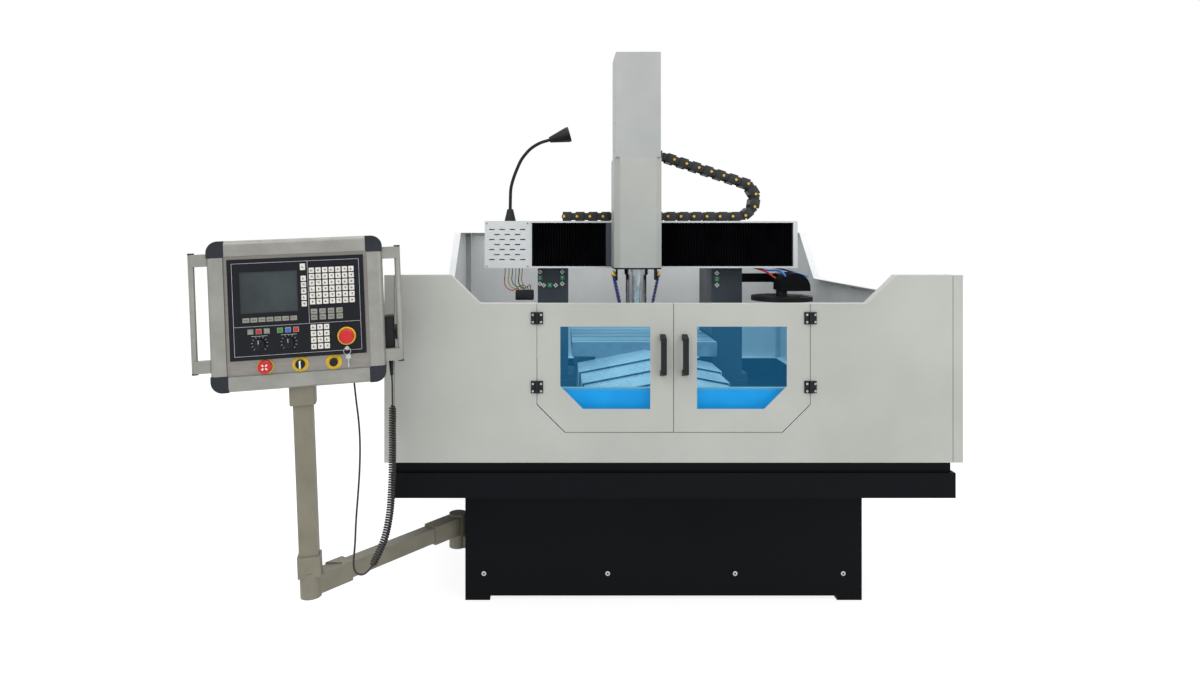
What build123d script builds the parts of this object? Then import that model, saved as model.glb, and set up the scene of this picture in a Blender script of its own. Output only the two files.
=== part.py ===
from build123d import *
import math
import os

# Bridge type milling machine with a moving table, a splash enclosure and a control pendant on a swing arm.
# Origin: floor level, at the centre of the four foot pads. X runs to the right, Y to the back, Z up.
# All lengths are in millimetres, all angles in degrees.

# Shared values
sheet = 3
overrun = 5
run_clear = 0.05
soft_gap = 0.4
tube_side_count = 10

# Base cabinet and foot pads
base_width = 1440
base_depth = 1870
base_height = 440
base_wall = 6
pad_width = 90
pad_depth = 120
pad_height = 16
pad_hole_radius = 9

# Chip tray
tray_width = 1868
tray_height = 119
tray_neck_height = 36
tray_neck_inset = 12
tray_wall = 5
tray_setback = 6
tray_bed_gap = 2

# Splash enclosure
enclosure_width = 1910
front_reach = 1200
rear_reach = 1040
panel_height = 525
ear_height = 94
ear_top_reach = 737
ear_low_reach = 640
panel_flange = 40
wall_flange = 33
wall_ear_depth = 60
wall_ear_run = 110
raise_start = 1470
raise_run = 250
raise_height = 235
apron_height = 200
apron_rise = 139
apron_lap = 40
apron_lip = 26

# Doors, windows, hinges and handles
door_width = 449
door_height = 424
door_gap = 2
door_chamfer = 92
door_depth = 30
window_margin = 76
window_chamfer = 75
pane_thickness = 5
pane_lap = 14
hinge_size = 40
hinge_leaf = 4
barrel_radius = 5.5
hinge_pin_radius = 2.5
hinge_top_drop = 48
hinge_low_rise = 149
handle_length = 138
handle_width = 18
handle_bar = 12
handle_standoff = 36
handle_foot = 20
handle_side = 35
handle_rise = 254

# Bed, way covers and table
bed_width = 500
bed_height = 234
bed_front_gap = 100
ledge_width = 616
ledge_thickness = 30
cross_width = 1010
cross_depth = 400
cross_front = -70
cross_height = 184
rail_spread = 380
rail_width = 23
rail_height = 22
guide_height = 48
guide_width = 60
guide_length = 90
cover_count = 4
cover_length = 235
cover_overlap = 32
cover_stack_step = 6
cover_half_width = 300
cover_skirt = 62
cover_slope = 11
cover_nest = 9
cover_sheet = 2.5
table_length = 640
table_width = 650
table_thickness = 64
table_drop = 42
slot_count = 5
slot_neck = 14
slot_neck_depth = 16
slot_foot_width = 24
slot_foot_depth = 11
screw_radius = 14
screw_rise = 32
support_length = 30
support_half = 26
nut_half = 28
nut_length = 90

# Uprights and beam
upright_inner = 340
upright_width = 145
upright_depth = 340
upright_front = -40
upright_foot = 30
upright_foot_lap = 20
upright_height = 532
upright_pocket = 14
upright_pocket_margin = 40
beam_left_reach = 517
beam_right_reach = 690
beam_height = 216
beam_overhang = 60
beam_depth = 320
guard_reach = 75
guard_thickness = 8
end_cap_width = 20
beam_pocket = 40
beam_pocket_count = 5
beam_pocket_gap = 40
x_rail_inset = 48
x_rail_width = 20
x_rail_height = 18
x_guide_height = 40
x_guide_width = 44
x_guide_length = 70
x_screw_radius = 10
x_screw_rise = 20
x_support_half = 17
motor_box_width = 207
motor_box_depth = 260
box_sheet = 2
vent_length = 24
vent_height = 5
vent_rows = 7
vent_columns = 4
vent_row_pitch = 23
vent_column_pitch = 47
motor_half = 30
motor_length = 120
y_motor_half = 55
y_motor_length = 150

# Bellows
bellows_frame = 9
bellows_gap = 0.4
bellows_back = 40
bellows_front = 72
bellows_fold = 22
bellows_pitch = 12.5

# Carriage, head and spindle
spindle_x = -42
carriage_plate_half = 90
carriage_plate = 24
carriage_plate_gap = 3
carriage_rise = 28
carriage_height = 850
carriage_half = 126.5
z_rail_spread = 124
z_rail_width = 15
z_rail_height = 14
z_guide_height = 34
z_guide_width = 34
z_guide_length = 60
z_screw_radius = 8
z_screw_rise = 18
z_support_half = 14
z_bracket_rise = 721
z_bracket_thickness = 12
z_bracket_reach = 70
z_motor_length = 140
head_cover_front = 232
upper_cover_width = 193
upper_cover_rise = 938
split_rise = 487
head_flange = 22
lower_cover_width = 204
lower_cover_rise = 11
lower_cover_chamfer = 24
ram_half = 78
ram_depth = 116
ram_rise = 120
ram_height = 350
spindle_reach = 64
spindle_body_radius = 46
spindle_flange_radius = 52
spindle_core_radius = 50
spindle_body_drop = 302
spindle_flange_drop = 142
spindle_cap_radius = 44
spindle_cap_height = 22
shaft_radius = 20
shaft_length = 115
nose_radius = 34
nose_length = 40
nose_taper = 6
tool_bore_radius = 10
tool_bore_depth = 55
nose_plate_thickness = 6
nose_plate_hole = 58
tab_height = 52
tab_depth = 84
tab_thickness = 4
tab_reach = 84
valve_radius = 8
valve_length = 20
hose_bead_count = 9
hose_side_count = 8
hose_bead_pitch = 15
hose_big_radius = 8
hose_small_radius = 5.5
hose_lean = 12
hose_spread = 26

# Cable chain of the cross axis
link_pitch = 60
link_height = 43
link_width = 90
link_setback = 25
link_wall = 6
link_neck_width = 74
link_neck_height = 33
link_gap = 12
link_neck_length = 26
chain_start = 150
chain_lower_links = 14
chain_bend_links = 3
chain_upper_links = 7
chain_rise_angle = 18
chain_bracket_thickness = 8

# Work lamp
lamp_inset = 113
lamp_setback = 60
lamp_base_radius = 27
lamp_base_top_radius = 14
lamp_base_height = 56
lamp_neck_radius = 7.5
lamp_neck_route = [(0, 0), (2, 100), (21, 162), (52, 234), (95, 283), (138, 309), (183, 322)]
lamp_head_radius = 35
lamp_head_neck_radius = 13
lamp_head_length = 98
lamp_rim = 12
lamp_mouth_wall = 4
lamp_lens_depth = 3

# Tool carousel
disc_reach = 117
disc_ahead = 260
disc_drop = 136
disc_radius = 132
disc_thickness = 20
pocket_count = 8
pocket_radius = 16
pocket_ring = 104
hub_radius = 24
hub_height = 24
housing_width = 128
housing_depth = 130
housing_height = 14
housing_shift = 44
carousel_arm_size = 40
carousel_arm_drop = 72
axle_radius = 8
axle_flange_radius = 14
axle_flange = 4

# Swing arm and pole
pivot_reach = 37
pivot_setback = 80
arm_level = 250
arm_tube_height = 52
arm_tube_width = 46
hub_outer_radius = 32
hub_half_height = 40
pivot_pin_radius = 13
pivot_foot = 44
elbow_aside = 192
elbow_ahead = 164
elbow_rise = 25
elbow_drop = 40
socket_length = 70
socket_wall = 6
pole_width = 58
pole_depth = 46
pole_sleeve_height = 64
pole_collar_height = 58
pole_collar_wall = 9
pole_lean = 2.3
pole_yaw = 12
pole_length = 589
pole_round = 6

# Control pendant, placed from the foot of its pole
case_width = 510
case_height = 453
case_depth = 105
bar_width = 46
bar_depth = 90
bar_round = 14
corner_size = 50
corner_round = 34
plate_recess = 8
face_width = 395
face_height = 303
face_thickness = 10
face_top_gap = 11
lcd_width = 159
lcd_height = 118
lcd_left = 38
lcd_top = 42
lcd_thickness = 1.5
key_height = 1.5
handle_tube_radius = 9
handle_tube_reach = 46
handle_tube_length = 355
handle_tube_drop = 37
handle_block_height = 37
handle_block_depth = 24
handle_block_ahead = 30

# Key groups on the pendant: left, top, pitch across, pitch down, width, height
key_groups = [
    (49, 183, 22.7, 24, 19.8, 14),
    (216.5, 30, 19, 20, 15, 20),
    (217.5, 65, 18.2, 19.3, 15, 16),
    (242, 42, 19.4, 19.1, 15.6, 16),
    (245, 167, 24.9, 18, 18.9, 16),
    (60.5, 218, 23.2, 24.6, 17, 16),
    (144.5, 218, 23.2, 24.6, 17, 16),
    (241, 215, 19.4, 19.5, 15.6, 16),
]
# Columns and rows of each group
key_group_counts = [(7, 1), (1, 1), (1, 5), (7, 6), (4, 2), (3, 1), (3, 1), (3, 4)]

# Buttons and knobs on the pendant
button_travel = 6
button_stem = 8
stem_length = 18
stem_room = 26
estop_left = 338
estop_top = 247
estop_radius = 22
estop_cap = 18
feed_knob_left = 85
speed_knob_left = 169
knob_top = 256
knob_radius = 15
knob_height = 20
red_button_shift = -100
selector_shift = 1
push_button_shift = 99
strip_rise = 25
mushroom_radius = 20
selector_radius = 14
push_radius = 12
strip_cap = 16

# Hand wheel box and its curly lead, in the pendant's own directions
wheel_box_width = 30
wheel_box_depth = 65
wheel_box_height = 131
wheel_box_drop = 256
wheel_box_behind = 15
wheel_box_round = 6
wheel_rise = 78
wheel_radius = 24
wheel_thickness = 12
wheel_stem = 6
relief_radius = 8
relief_tip_radius = 5
relief_length = 60
lead_radius = 3
coil_radius = 12.5
lead_top_route = [(270, 17.5, 595), (270.5, 17, 566), (269.5, 15, 536), (268.5, 14, 504)]
coil_route = [
    (268.5, 14, 504),
    (264.5, 4, 413),
    (261.5, -8, 323),
    (255.5, -20, 235),
    (244.5, -32, 151),
    (222.5, -44, 79),
    (185.5, -54, 21),
]
lead_rise_route = [
    (185.5, -54, 21),
    (168.5, -57, 4),
    (148.5, -58, 4),
    (134.5, -58, 19),
    (133.5, -58, 47),
    (140.5, -56, 98),
    (145.5, -51, 168),
    (154.5, -45, 245),
    (162.5, -38, 323),
    (166.5, -30, 401),
    (164.5, -22, 471),
    (158.5, -15, 530),
    (154.5, -10, 589),
]

# Levels and places worked out from the sizes above
base_top = pad_height + base_height
tray_top = base_top + tray_height
door_line = tray_top + panel_height
ear_top = door_line + ear_height
raised_top = door_line + raise_height
front_y = -front_reach
half_width = enclosure_width / 2
panel_half = half_width - wall_flange
opening_half = door_gap / 2 + door_width + door_gap
door_bottom = door_line - door_height
opening_bottom = door_bottom - door_gap
bed_top = base_top + bed_height
bed_front = front_y + bed_front_gap
covers_open = cover_count * cover_length - (cover_count - 1) * cover_overlap
covers_shut = cover_length + (cover_count - 1) * cover_stack_step
table_front = bed_front + covers_open
table_rear = table_front + table_length
bed_rear = table_rear + covers_shut
guide_top = bed_top + guide_height
table_bottom = guide_top + table_drop
table_top = table_bottom + table_thickness
cross_top = base_top + cross_height
cross_rear = cross_front + cross_depth
beam_bottom = cross_top + upright_height
beam_top = beam_bottom + beam_height
beam_middle = (beam_bottom + beam_top) / 2
beam_front = upright_front - beam_overhang
beam_rear = beam_front + beam_depth
beam_left = -beam_left_reach
guard_front = beam_front - guard_reach
bellows_low = beam_bottom + guard_thickness + bellows_gap
bellows_high = beam_top - guard_thickness - bellows_gap
carriage_left = spindle_x - carriage_half
carriage_right = spindle_x + carriage_half
plate_back = guard_front - carriage_plate_gap
plate_front = plate_back - carriage_plate
plate_bottom = beam_bottom + carriage_rise
plate_top = plate_bottom + carriage_height
ram_back = plate_front - z_guide_height
ram_front = ram_back - ram_depth
ram_bottom = beam_bottom + ram_rise
ram_top = ram_bottom + ram_height
spindle_y = ram_back - spindle_reach
spindle_bottom = ram_bottom - spindle_body_drop
cover_front = plate_back - head_cover_front
cover_split = beam_bottom + split_rise
upper_cover_top = beam_bottom + upper_cover_rise
lower_cover_bottom = beam_bottom + lower_cover_rise
z_screw_y = plate_front - z_screw_rise
z_bracket_level = beam_bottom + z_bracket_rise
x_screw_y = beam_front - x_screw_rise
y_screw_z = bed_top + screw_rise
upright_outer = upright_inner + upright_width
disc_x = upright_outer + disc_reach
disc_y = upright_front - disc_ahead
disc_bottom = beam_bottom - disc_drop
disc_top = disc_bottom + disc_thickness
pivot_x = -base_width / 2 - pivot_reach
pivot_y = -base_depth / 2 + pivot_setback
elbow_x = -half_width - elbow_aside
elbow_y = front_y - elbow_ahead
arm_length = math.hypot(elbow_x - pivot_x, elbow_y - pivot_y)
arm_angle = math.degrees(math.atan2(elbow_y - pivot_y, elbow_x - pivot_x))
elbow_top = arm_level + elbow_rise
lean_frame = Pos(elbow_x, elbow_y, elbow_top) * Rot(0, -pole_lean, 0)
pendant_frame = lean_frame * Rot(0, 0, pole_yaw)


def block(x0, x1, y0, y1, z0, z1):
    centre = Pos((x0 + x1) / 2, (y0 + y1) / 2, (z0 + z1) / 2)
    return centre * Box(x1 - x0, y1 - y0, z1 - z0)


def rod_x(radius, x0, x1, y, z):
    return Pos((x0 + x1) / 2, y, z) * Rot(0, 90, 0) * Cylinder(radius, x1 - x0)


def rod_y(radius, x, y0, y1, z):
    return Pos(x, (y0 + y1) / 2, z) * Rot(90, 0, 0) * Cylinder(radius, y1 - y0)


def rod_z(radius, x, y, z0, z1):
    return Pos(x, y, (z0 + z1) / 2) * Cylinder(radius, z1 - z0)


def prism_x(points, x0, x1):
    place = Plane((x0, 0, 0), x_dir=(0, 1, 0), z_dir=(1, 0, 0))
    return place.location * extrude(Polygon(*points, align=None), x1 - x0, dir=(0, 0, 1))


def prism_y(points, y0, y1):
    place = Plane((0, y1, 0), x_dir=(1, 0, 0), z_dir=(0, -1, 0))
    return place.location * extrude(Polygon(*points, align=None), y1 - y0, dir=(0, 0, 1))


def prism_z(points, z0, z1):
    return Pos(0, 0, z0) * extrude(Polygon(*points, align=None), z1 - z0, dir=(0, 0, 1))


def mirrored(points):
    return points + [(-x, z) for x, z in reversed(points)]


def pan(points, depth, thickness):
    # A folded sheet: its face is at the top, its flanges hang down from every edge.
    outline = Polygon(*points, align=None)
    inside = offset(outline, amount=-thickness, kind=Kind.INTERSECTION)
    return extrude(outline, depth) - extrude(inside, depth - thickness)


def front_pan(points, depth, thickness):
    place = Plane((0, front_y + depth, 0), x_dir=(1, 0, 0), z_dir=(0, -1, 0))
    return place.location * pan(points, depth, thickness)


def save(name, *pieces):
    solids = [solid for piece in pieces for solid in piece.solids()]
    shape = solids[0] if len(solids) == 1 else Compound(solids)
    export_step(shape, f"parts/{name}.step")


def base_frame():
    half_x = base_width / 2
    half_y = base_depth / 2
    body = block(-half_x, half_x, -half_y, half_y, pad_height, base_top)
    inner_x = half_x - base_wall
    inner_y = half_y - base_wall
    body -= block(-inner_x, inner_x, -inner_y, inner_y, pad_height - overrun, base_top - base_wall)
    for side_x in (-1, 1):
        for side_y in (-1, 1):
            x = side_x * (half_x - pad_width / 2)
            y = side_y * (half_y - pad_depth / 2)
            pad = Pos(x, y, pad_height / 2) * Box(pad_width, pad_depth, pad_height)
            body += pad
            body -= rod_z(pad_hole_radius, x, y, -overrun, pad_height + overrun)
    return body


def bed_plan(gap, z0, z1):
    half_bed = bed_width / 2 + gap
    half_cross = cross_width / 2 + gap
    way = block(-half_bed, half_bed, bed_front - gap, bed_rear + gap, z0, z1)
    cross = block(-half_cross, half_cross, cross_front - gap, cross_rear + gap, z0, z1)
    return way + cross


def chip_tray():
    half = tray_width / 2
    front = front_y + tray_setback
    rear = rear_reach - tray_setback
    neck_low = tray_top - tray_neck_height
    inset = tray_neck_inset
    body = block(-half, half, front, rear, base_top, neck_low)
    body += block(-half + inset, half - inset, front + inset, rear - inset, neck_low, tray_top)
    floor = base_top + tray_wall
    wall = inset + tray_wall
    body -= block(-half + wall, half - wall, front + wall, rear - wall, floor, tray_top + overrun)
    return body - bed_plan(tray_bed_gap, base_top - overrun, floor + overrun)


def bed():
    body = block(-bed_width / 2, bed_width / 2, bed_front, bed_rear, base_top, bed_top)
    half_ledge = ledge_width / 2
    body += block(-half_ledge, half_ledge, bed_front, bed_rear, bed_top - ledge_thickness, bed_top)
    body += block(-cross_width / 2, cross_width / 2, cross_front, cross_rear, base_top, cross_top)
    support_top = y_screw_z + support_half
    for start in (bed_front, bed_rear - support_length):
        end = start + support_length
        body += block(-support_half, support_half, start, end, bed_top, support_top)
    bore = screw_radius + run_clear
    return body - rod_y(bore, 0, bed_front - overrun, bed_rear + overrun, y_screw_z)


def guide_rails():
    pieces = []
    for side in (-1, 1):
        x = side * rail_spread / 2
        low = bed_front + support_length
        high = bed_rear - support_length
        half = rail_width / 2
        pieces.append(block(x - half, x + half, low, high, bed_top, bed_top + rail_height))
        z = beam_middle + side * (beam_height / 2 - x_rail_inset)
        half = x_rail_width / 2
        left = beam_left + support_length
        right = beam_right_reach - support_length
        pieces.append(block(left, right, beam_front - x_rail_height, beam_front, z - half, z + half))
    return pieces


def uprights():
    pieces = []
    for side in (-1, 1):
        rear = upright_front + upright_depth
        low, high = sorted((side * upright_inner, side * upright_outer))
        body = block(low, high, upright_front, rear, cross_top, beam_bottom)
        low, high = sorted((side * upright_inner, side * (upright_outer + upright_foot_lap)))
        lap = upright_foot_lap
        body += block(low, high, upright_front - lap, rear + lap, cross_top, cross_top + upright_foot)
        margin = upright_pocket_margin
        low, high = sorted((side * (upright_outer - upright_pocket), side * (upright_outer + overrun)))
        top = beam_bottom - margin
        bottom = cross_top + upright_foot + margin
        body -= block(low, high, upright_front + margin, rear - margin, bottom, top)
        pieces.append(body)
    return pieces


def beam():
    body = block(beam_left, beam_right_reach, beam_front, beam_rear, beam_bottom, beam_top)
    for z in (beam_bottom, beam_top - guard_thickness):
        body += block(beam_left, beam_right_reach, guard_front, beam_front, z, z + guard_thickness)
    cap_end = beam_right_reach + end_cap_width
    body += block(beam_right_reach, cap_end, guard_front, beam_rear, beam_bottom, beam_top)
    frame_front = beam_front - bellows_front
    frame_end = beam_left + bellows_frame
    body += block(beam_left, frame_end, frame_front, beam_front, beam_bottom, beam_top)
    half = x_support_half
    for x in (beam_left, beam_right_reach - support_length):
        z0 = beam_middle - half
        body += block(x, x + support_length, x_screw_y - half, beam_front, z0, z0 + half + half)
    span = (beam_left_reach + beam_right_reach - beam_pocket_gap) / beam_pocket_count
    for index in range(beam_pocket_count):
        x0 = beam_left + beam_pocket_gap + index * span
        x1 = x0 + span - beam_pocket_gap
        low = beam_bottom + beam_pocket_gap
        high = beam_top - beam_pocket_gap
        body -= block(x0, x1, beam_rear - beam_pocket, beam_rear + overrun, low, high)
    bore = x_screw_radius + run_clear
    return body - rod_x(bore, beam_left - overrun, beam_right_reach, x_screw_y, beam_middle)


def motor(x0, x1, y0, y1, z0, z1, axis):
    body = block(x0, x1, y0, y1, z0, z1)
    edges = body.edges().filter_by(axis)
    return chamfer(edges, motor_half / 6)


def axis_motors():
    half = motor_half
    left = beam_left - motor_length
    y0 = x_screw_y - half
    y1 = x_screw_y + half
    x_motor = motor(left, beam_left, y0, y1, beam_middle - half, beam_middle + half, Axis.X)
    half = y_motor_half
    z0 = y_screw_z - half
    z1 = y_screw_z + half
    y_motor = motor(-half, half, bed_rear, bed_rear + y_motor_length, z0, z1, Axis.Y)
    return [x_motor, y_motor]


def motor_box():
    left = beam_left - motor_box_width
    rear = guard_front + motor_box_depth
    t = box_sheet
    body = block(left, beam_left, guard_front, rear, beam_bottom, beam_top)
    body -= block(left + t, beam_left + overrun, guard_front + t, rear - t, beam_bottom + t, beam_top - t)
    middle = (left + beam_left) / 2
    for row in range(vent_rows):
        z = beam_middle + (row - (vent_rows - 1) / 2) * vent_row_pitch
        count = vent_columns - row % 2
        for column in range(count):
            x = middle + (column - (count - 1) / 2) * vent_column_pitch
            vent = Pos(x, guard_front, z) * Box(vent_length, t + overrun, vent_height)
            body -= vent
    return body


def bellows(x0, x1):
    folds = round((x1 - x0) / bellows_pitch)
    step = (x1 - x0) / folds
    crest = beam_front - bellows_front
    root = crest + bellows_fold
    back = beam_front - bellows_back
    points = [(x0, root)]
    for fold in range(folds):
        points.append((x0 + (fold + 0.5) * step, crest))
        points.append((x0 + (fold + 1) * step, root))
    points += [(x1, back), (x0, back)]
    return prism_z(points, bellows_low, bellows_high)


def front_panel():
    right_side = [
        (panel_half, tray_top),
        (panel_half, ear_top),
        (ear_top_reach, ear_top),
        (ear_low_reach, door_line),
        (opening_half, door_line),
        (opening_half, opening_bottom + door_chamfer),
        (opening_half - door_chamfer, opening_bottom),
    ]
    body = front_pan(mirrored(right_side), panel_flange, sheet)
    half = opening_half + apron_lap
    front = front_y + panel_flange
    top = opening_bottom + apron_rise
    body += block(-half, half, front, front + sheet, top - apron_height, top)
    body += block(-half, half, front, front + apron_lip, top - sheet, top)
    return body


def side_wall():
    ear_back = front_y + wall_ear_depth
    outline = [
        (front_y, tray_top),
        (rear_reach, tray_top),
        (rear_reach, raised_top),
        (front_y + raise_start + raise_run, raised_top),
        (front_y + raise_start, door_line),
        (ear_back + wall_ear_run, door_line),
        (ear_back, ear_top),
        (front_y, ear_top),
    ]
    place = Plane((half_width - wall_flange, 0, 0), x_dir=(0, 1, 0), z_dir=(1, 0, 0))
    return place.location * pan(outline, wall_flange, sheet)


def rear_wall():
    outline = [
        (-panel_half, tray_top),
        (panel_half, tray_top),
        (panel_half, raised_top),
        (-panel_half, raised_top),
    ]
    place = Plane((0, rear_reach - panel_flange, 0), x_dir=(-1, 0, 0), z_dir=(0, 1, 0))
    return place.location * pan(outline, panel_flange, sheet)


def door_outline(margin, chamfer_size):
    # Right hand door, without and with the margin that its window keeps from every edge.
    inner = door_gap / 2 + margin
    outer = door_gap / 2 + door_width - margin
    low = door_bottom + margin
    high = door_line - margin
    return [
        (inner, low),
        (outer - chamfer_size, low),
        (outer, low + chamfer_size),
        (outer, high),
        (inner, high),
    ]


def door():
    body = front_pan(door_outline(0, door_chamfer), door_depth, sheet)
    window = door_outline(window_margin, window_chamfer)
    return body - prism_y(window, front_y - overrun, front_y + sheet + overrun)


def door_window():
    outline = door_outline(window_margin - pane_lap, window_chamfer)
    return prism_y(outline, front_y + sheet, front_y + sheet + pane_thickness)


def door_handle():
    x = door_gap / 2 + handle_side
    z = door_bottom + handle_rise
    half = handle_length / 2
    near = front_y - handle_standoff
    grip = near + handle_bar
    outline = [
        (front_y, z - half),
        (near, z - half + handle_foot / 2),
        (near, z + half - handle_foot / 2),
        (front_y, z + half),
        (front_y, z + half - handle_foot),
        (grip, z + half - handle_foot),
        (grip, z - half + handle_foot),
        (front_y, z - half + handle_foot),
    ]
    return prism_x(outline, x - handle_width / 2, x + handle_width / 2)


def hinge_levels():
    return [door_bottom + hinge_low_rise, door_line - hinge_top_drop]


def hinge(z, moving):
    # Half of a square surface hinge: the fixed half carries the pin and the two end knuckles.
    x = opening_half - door_gap / 2
    y = front_y - barrel_radius
    half = hinge_size / 2
    third = hinge_size / 3
    low = z - third / 2
    high = z + third / 2
    if moving:
        knuckle = rod_z(barrel_radius, x, y, low + soft_gap, high - soft_gap)
        leaf = block(x - half, x - barrel_radius / 2, front_y - hinge_leaf, front_y, z - half, z + half)
        room = barrel_radius + soft_gap
        leaf -= rod_z(room, x, y, z - half - overrun, low + soft_gap)
        leaf -= rod_z(room, x, y, high - soft_gap, z + half + overrun)
        bore = hinge_pin_radius + run_clear
        return leaf + knuckle - rod_z(bore, x, y, z - half - overrun, z + half + overrun)
    leaf = block(x + door_gap, x + half, front_y - hinge_leaf, front_y, z - half, z + half)
    leaf -= rod_z(barrel_radius + soft_gap, x, y, low, high)
    pin = rod_z(hinge_pin_radius, x, y, z - half, z + half)
    ends = rod_z(barrel_radius, x, y, z - half, low) + rod_z(barrel_radius, x, y, high, z + half)
    return leaf + pin + ends


def cover_profile(index, thickness):
    half = cover_half_width - index * cover_nest - thickness
    eave = bed_top + cover_skirt - index * cover_nest - thickness
    ridge = eave + half * math.tan(math.radians(cover_slope))
    return [(-half, bed_top), (half, bed_top), (half, eave), (0, ridge), (-half, eave)]


def way_cover(index, start):
    end = start + cover_length
    shell = prism_y(cover_profile(index, 0), start, end)
    return shell - prism_y(cover_profile(index, cover_sheet), start - overrun, end + overrun)


def way_covers(index):
    # The front cover is stretched out and the rear cover is pushed together.
    front = table_front - cover_length - index * (cover_length - cover_overlap)
    rear = table_rear + index * cover_stack_step
    return [way_cover(index, front), way_cover(index, rear)]


def work_table():
    half = table_width / 2
    body = block(-half, half, table_front, table_rear, table_bottom, table_top)
    pitch = table_length / slot_count
    for index in range(slot_count):
        y = table_front + (index + 0.5) * pitch
        neck = slot_neck / 2
        foot = slot_foot_width / 2
        level = table_top - slot_neck_depth
        outline = [
            (y - neck, table_top + overrun),
            (y - neck, level),
            (y - foot, level),
            (y - foot, level - slot_foot_depth),
            (y + foot, level - slot_foot_depth),
            (y + foot, level),
            (y + neck, level),
            (y + neck, table_top + overrun),
        ]
        body -= prism_x(outline, -half - overrun, half + overrun)
    pieces = []
    for side in (-1, 1):
        x = side * rail_spread / 2
        wide = guide_width / 2
        body += block(x - wide, x + wide, table_front, table_rear, guide_top, table_bottom)
        for start in (table_front, table_rear - guide_length):
            guide = block(x - wide, x + wide, start, start + guide_length, bed_top + sheet, guide_top)
            rail = rail_width / 2 + soft_gap
            groove_top = bed_top + rail_height + soft_gap
            low = start - overrun
            high = start + guide_length + overrun
            guide -= block(x - rail, x + rail, low, high, bed_top - overrun, groove_top)
            pieces.append(guide)
    middle = (table_front + table_rear) / 2
    low = middle - nut_length / 2
    high = middle + nut_length / 2
    body += block(-nut_half, nut_half, low, high, y_screw_z - nut_half, table_bottom)
    body -= rod_y(screw_radius + run_clear, 0, low - overrun, high + overrun, y_screw_z)
    return [body] + pieces


def saddle():
    low = bellows_low
    high = bellows_high
    body = block(carriage_left, carriage_right, plate_back, beam_front - x_guide_height, low, high)
    half = carriage_plate_half
    body += block(spindle_x - half, spindle_x + half, plate_front, plate_back, plate_bottom, plate_top)
    nut = nut_length / 2
    rear = beam_front - x_screw_rise + x_support_half
    z0 = beam_middle - x_support_half
    z1 = beam_middle + x_support_half
    body += block(spindle_x - nut, spindle_x + nut, beam_front - x_guide_height, rear, z0, z1)
    body -= rod_x(x_screw_radius + run_clear, carriage_left, carriage_right, x_screw_y, beam_middle)
    half = z_support_half
    x0 = spindle_x - half
    x1 = spindle_x + half
    body += block(x0, x1, z_screw_y - half, plate_front, plate_bottom, plate_bottom + support_length)
    bracket_top = z_bracket_level + z_bracket_thickness
    x0 = spindle_x - motor_half
    x1 = spindle_x + motor_half
    body += block(x0, x1, plate_front - z_bracket_reach, plate_front, z_bracket_level, bracket_top)
    body -= rod_z(z_screw_radius + run_clear, spindle_x, z_screw_y, plate_bottom - overrun, bracket_top)
    end_x, end_z = chain_points()[-1]
    tilt = link_height / 2 * math.sin(math.radians(chain_rise_angle))
    x0 = spindle_x + carriage_plate_half - chain_bracket_thickness
    x1 = end_x - tilt - soft_gap
    low = end_z - link_height / 2
    high = end_z + link_height / 2
    chain_rear = guard_front + link_setback + link_width
    body += block(x0, x1, plate_back, chain_rear, low, high)
    pieces = [body]
    for side in (-1, 1):
        z = beam_middle + side * (beam_height / 2 - x_rail_inset)
        half = x_guide_width / 2
        rail = x_rail_width / 2 + soft_gap
        rail_face = beam_front - x_rail_height - soft_gap
        for x in (carriage_left, carriage_right - x_guide_length):
            end = x + x_guide_length
            back = beam_front - sheet
            guide = block(x, end, beam_front - x_guide_height, back, z - half, z + half)
            guide -= block(x - overrun, end + overrun, rail_face, beam_front, z - rail, z + rail)
            pieces.append(guide)
        x = spindle_x + side * z_rail_spread / 2
        half = z_rail_width / 2
        face = plate_front - z_rail_height
        pieces.append(block(x - half, x + half, face, plate_front, plate_bottom, plate_top))
    half = motor_half
    y0 = z_screw_y - half
    y1 = z_screw_y + half
    top = bracket_top + z_motor_length
    y1 = min(y1, plate_front)
    pieces.append(motor(spindle_x - half, spindle_x + half, y0, y1, bracket_top, top, Axis.Z))
    return pieces


def head_flanges(half, z0, z1):
    inner = half - box_sheet - head_flange
    face = plate_front - box_sheet
    left = block(spindle_x - half, spindle_x - inner, face, plate_front, z0, z1)
    return left + block(spindle_x + inner, spindle_x + half, face, plate_front, z0, z1)


def upper_cover():
    half = upper_cover_width / 2
    t = box_sheet
    left = spindle_x - half
    right = spindle_x + half
    body = block(left, right, cover_front, plate_back, cover_split, upper_cover_top)
    low = cover_split - overrun
    high = upper_cover_top - t
    body -= block(left + t, right - t, cover_front + t, plate_back + overrun, low, high)
    return body + head_flanges(half, cover_split, upper_cover_top)


def lower_outline(thickness):
    half = lower_cover_width / 2 - thickness
    front = cover_front + thickness
    cut = lower_cover_chamfer
    rear = plate_back + (overrun if thickness else 0)
    return [
        (spindle_x - half, rear),
        (spindle_x - half, front + cut),
        (spindle_x - half + cut, front),
        (spindle_x + half - cut, front),
        (spindle_x + half, front + cut),
        (spindle_x + half, rear),
    ]


def lower_cover():
    body = prism_z(lower_outline(0), lower_cover_bottom, cover_split)
    body -= prism_z(lower_outline(box_sheet), lower_cover_bottom - overrun, cover_split + overrun)
    return body + head_flanges(lower_cover_width / 2, plate_bottom, cover_split)


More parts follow.
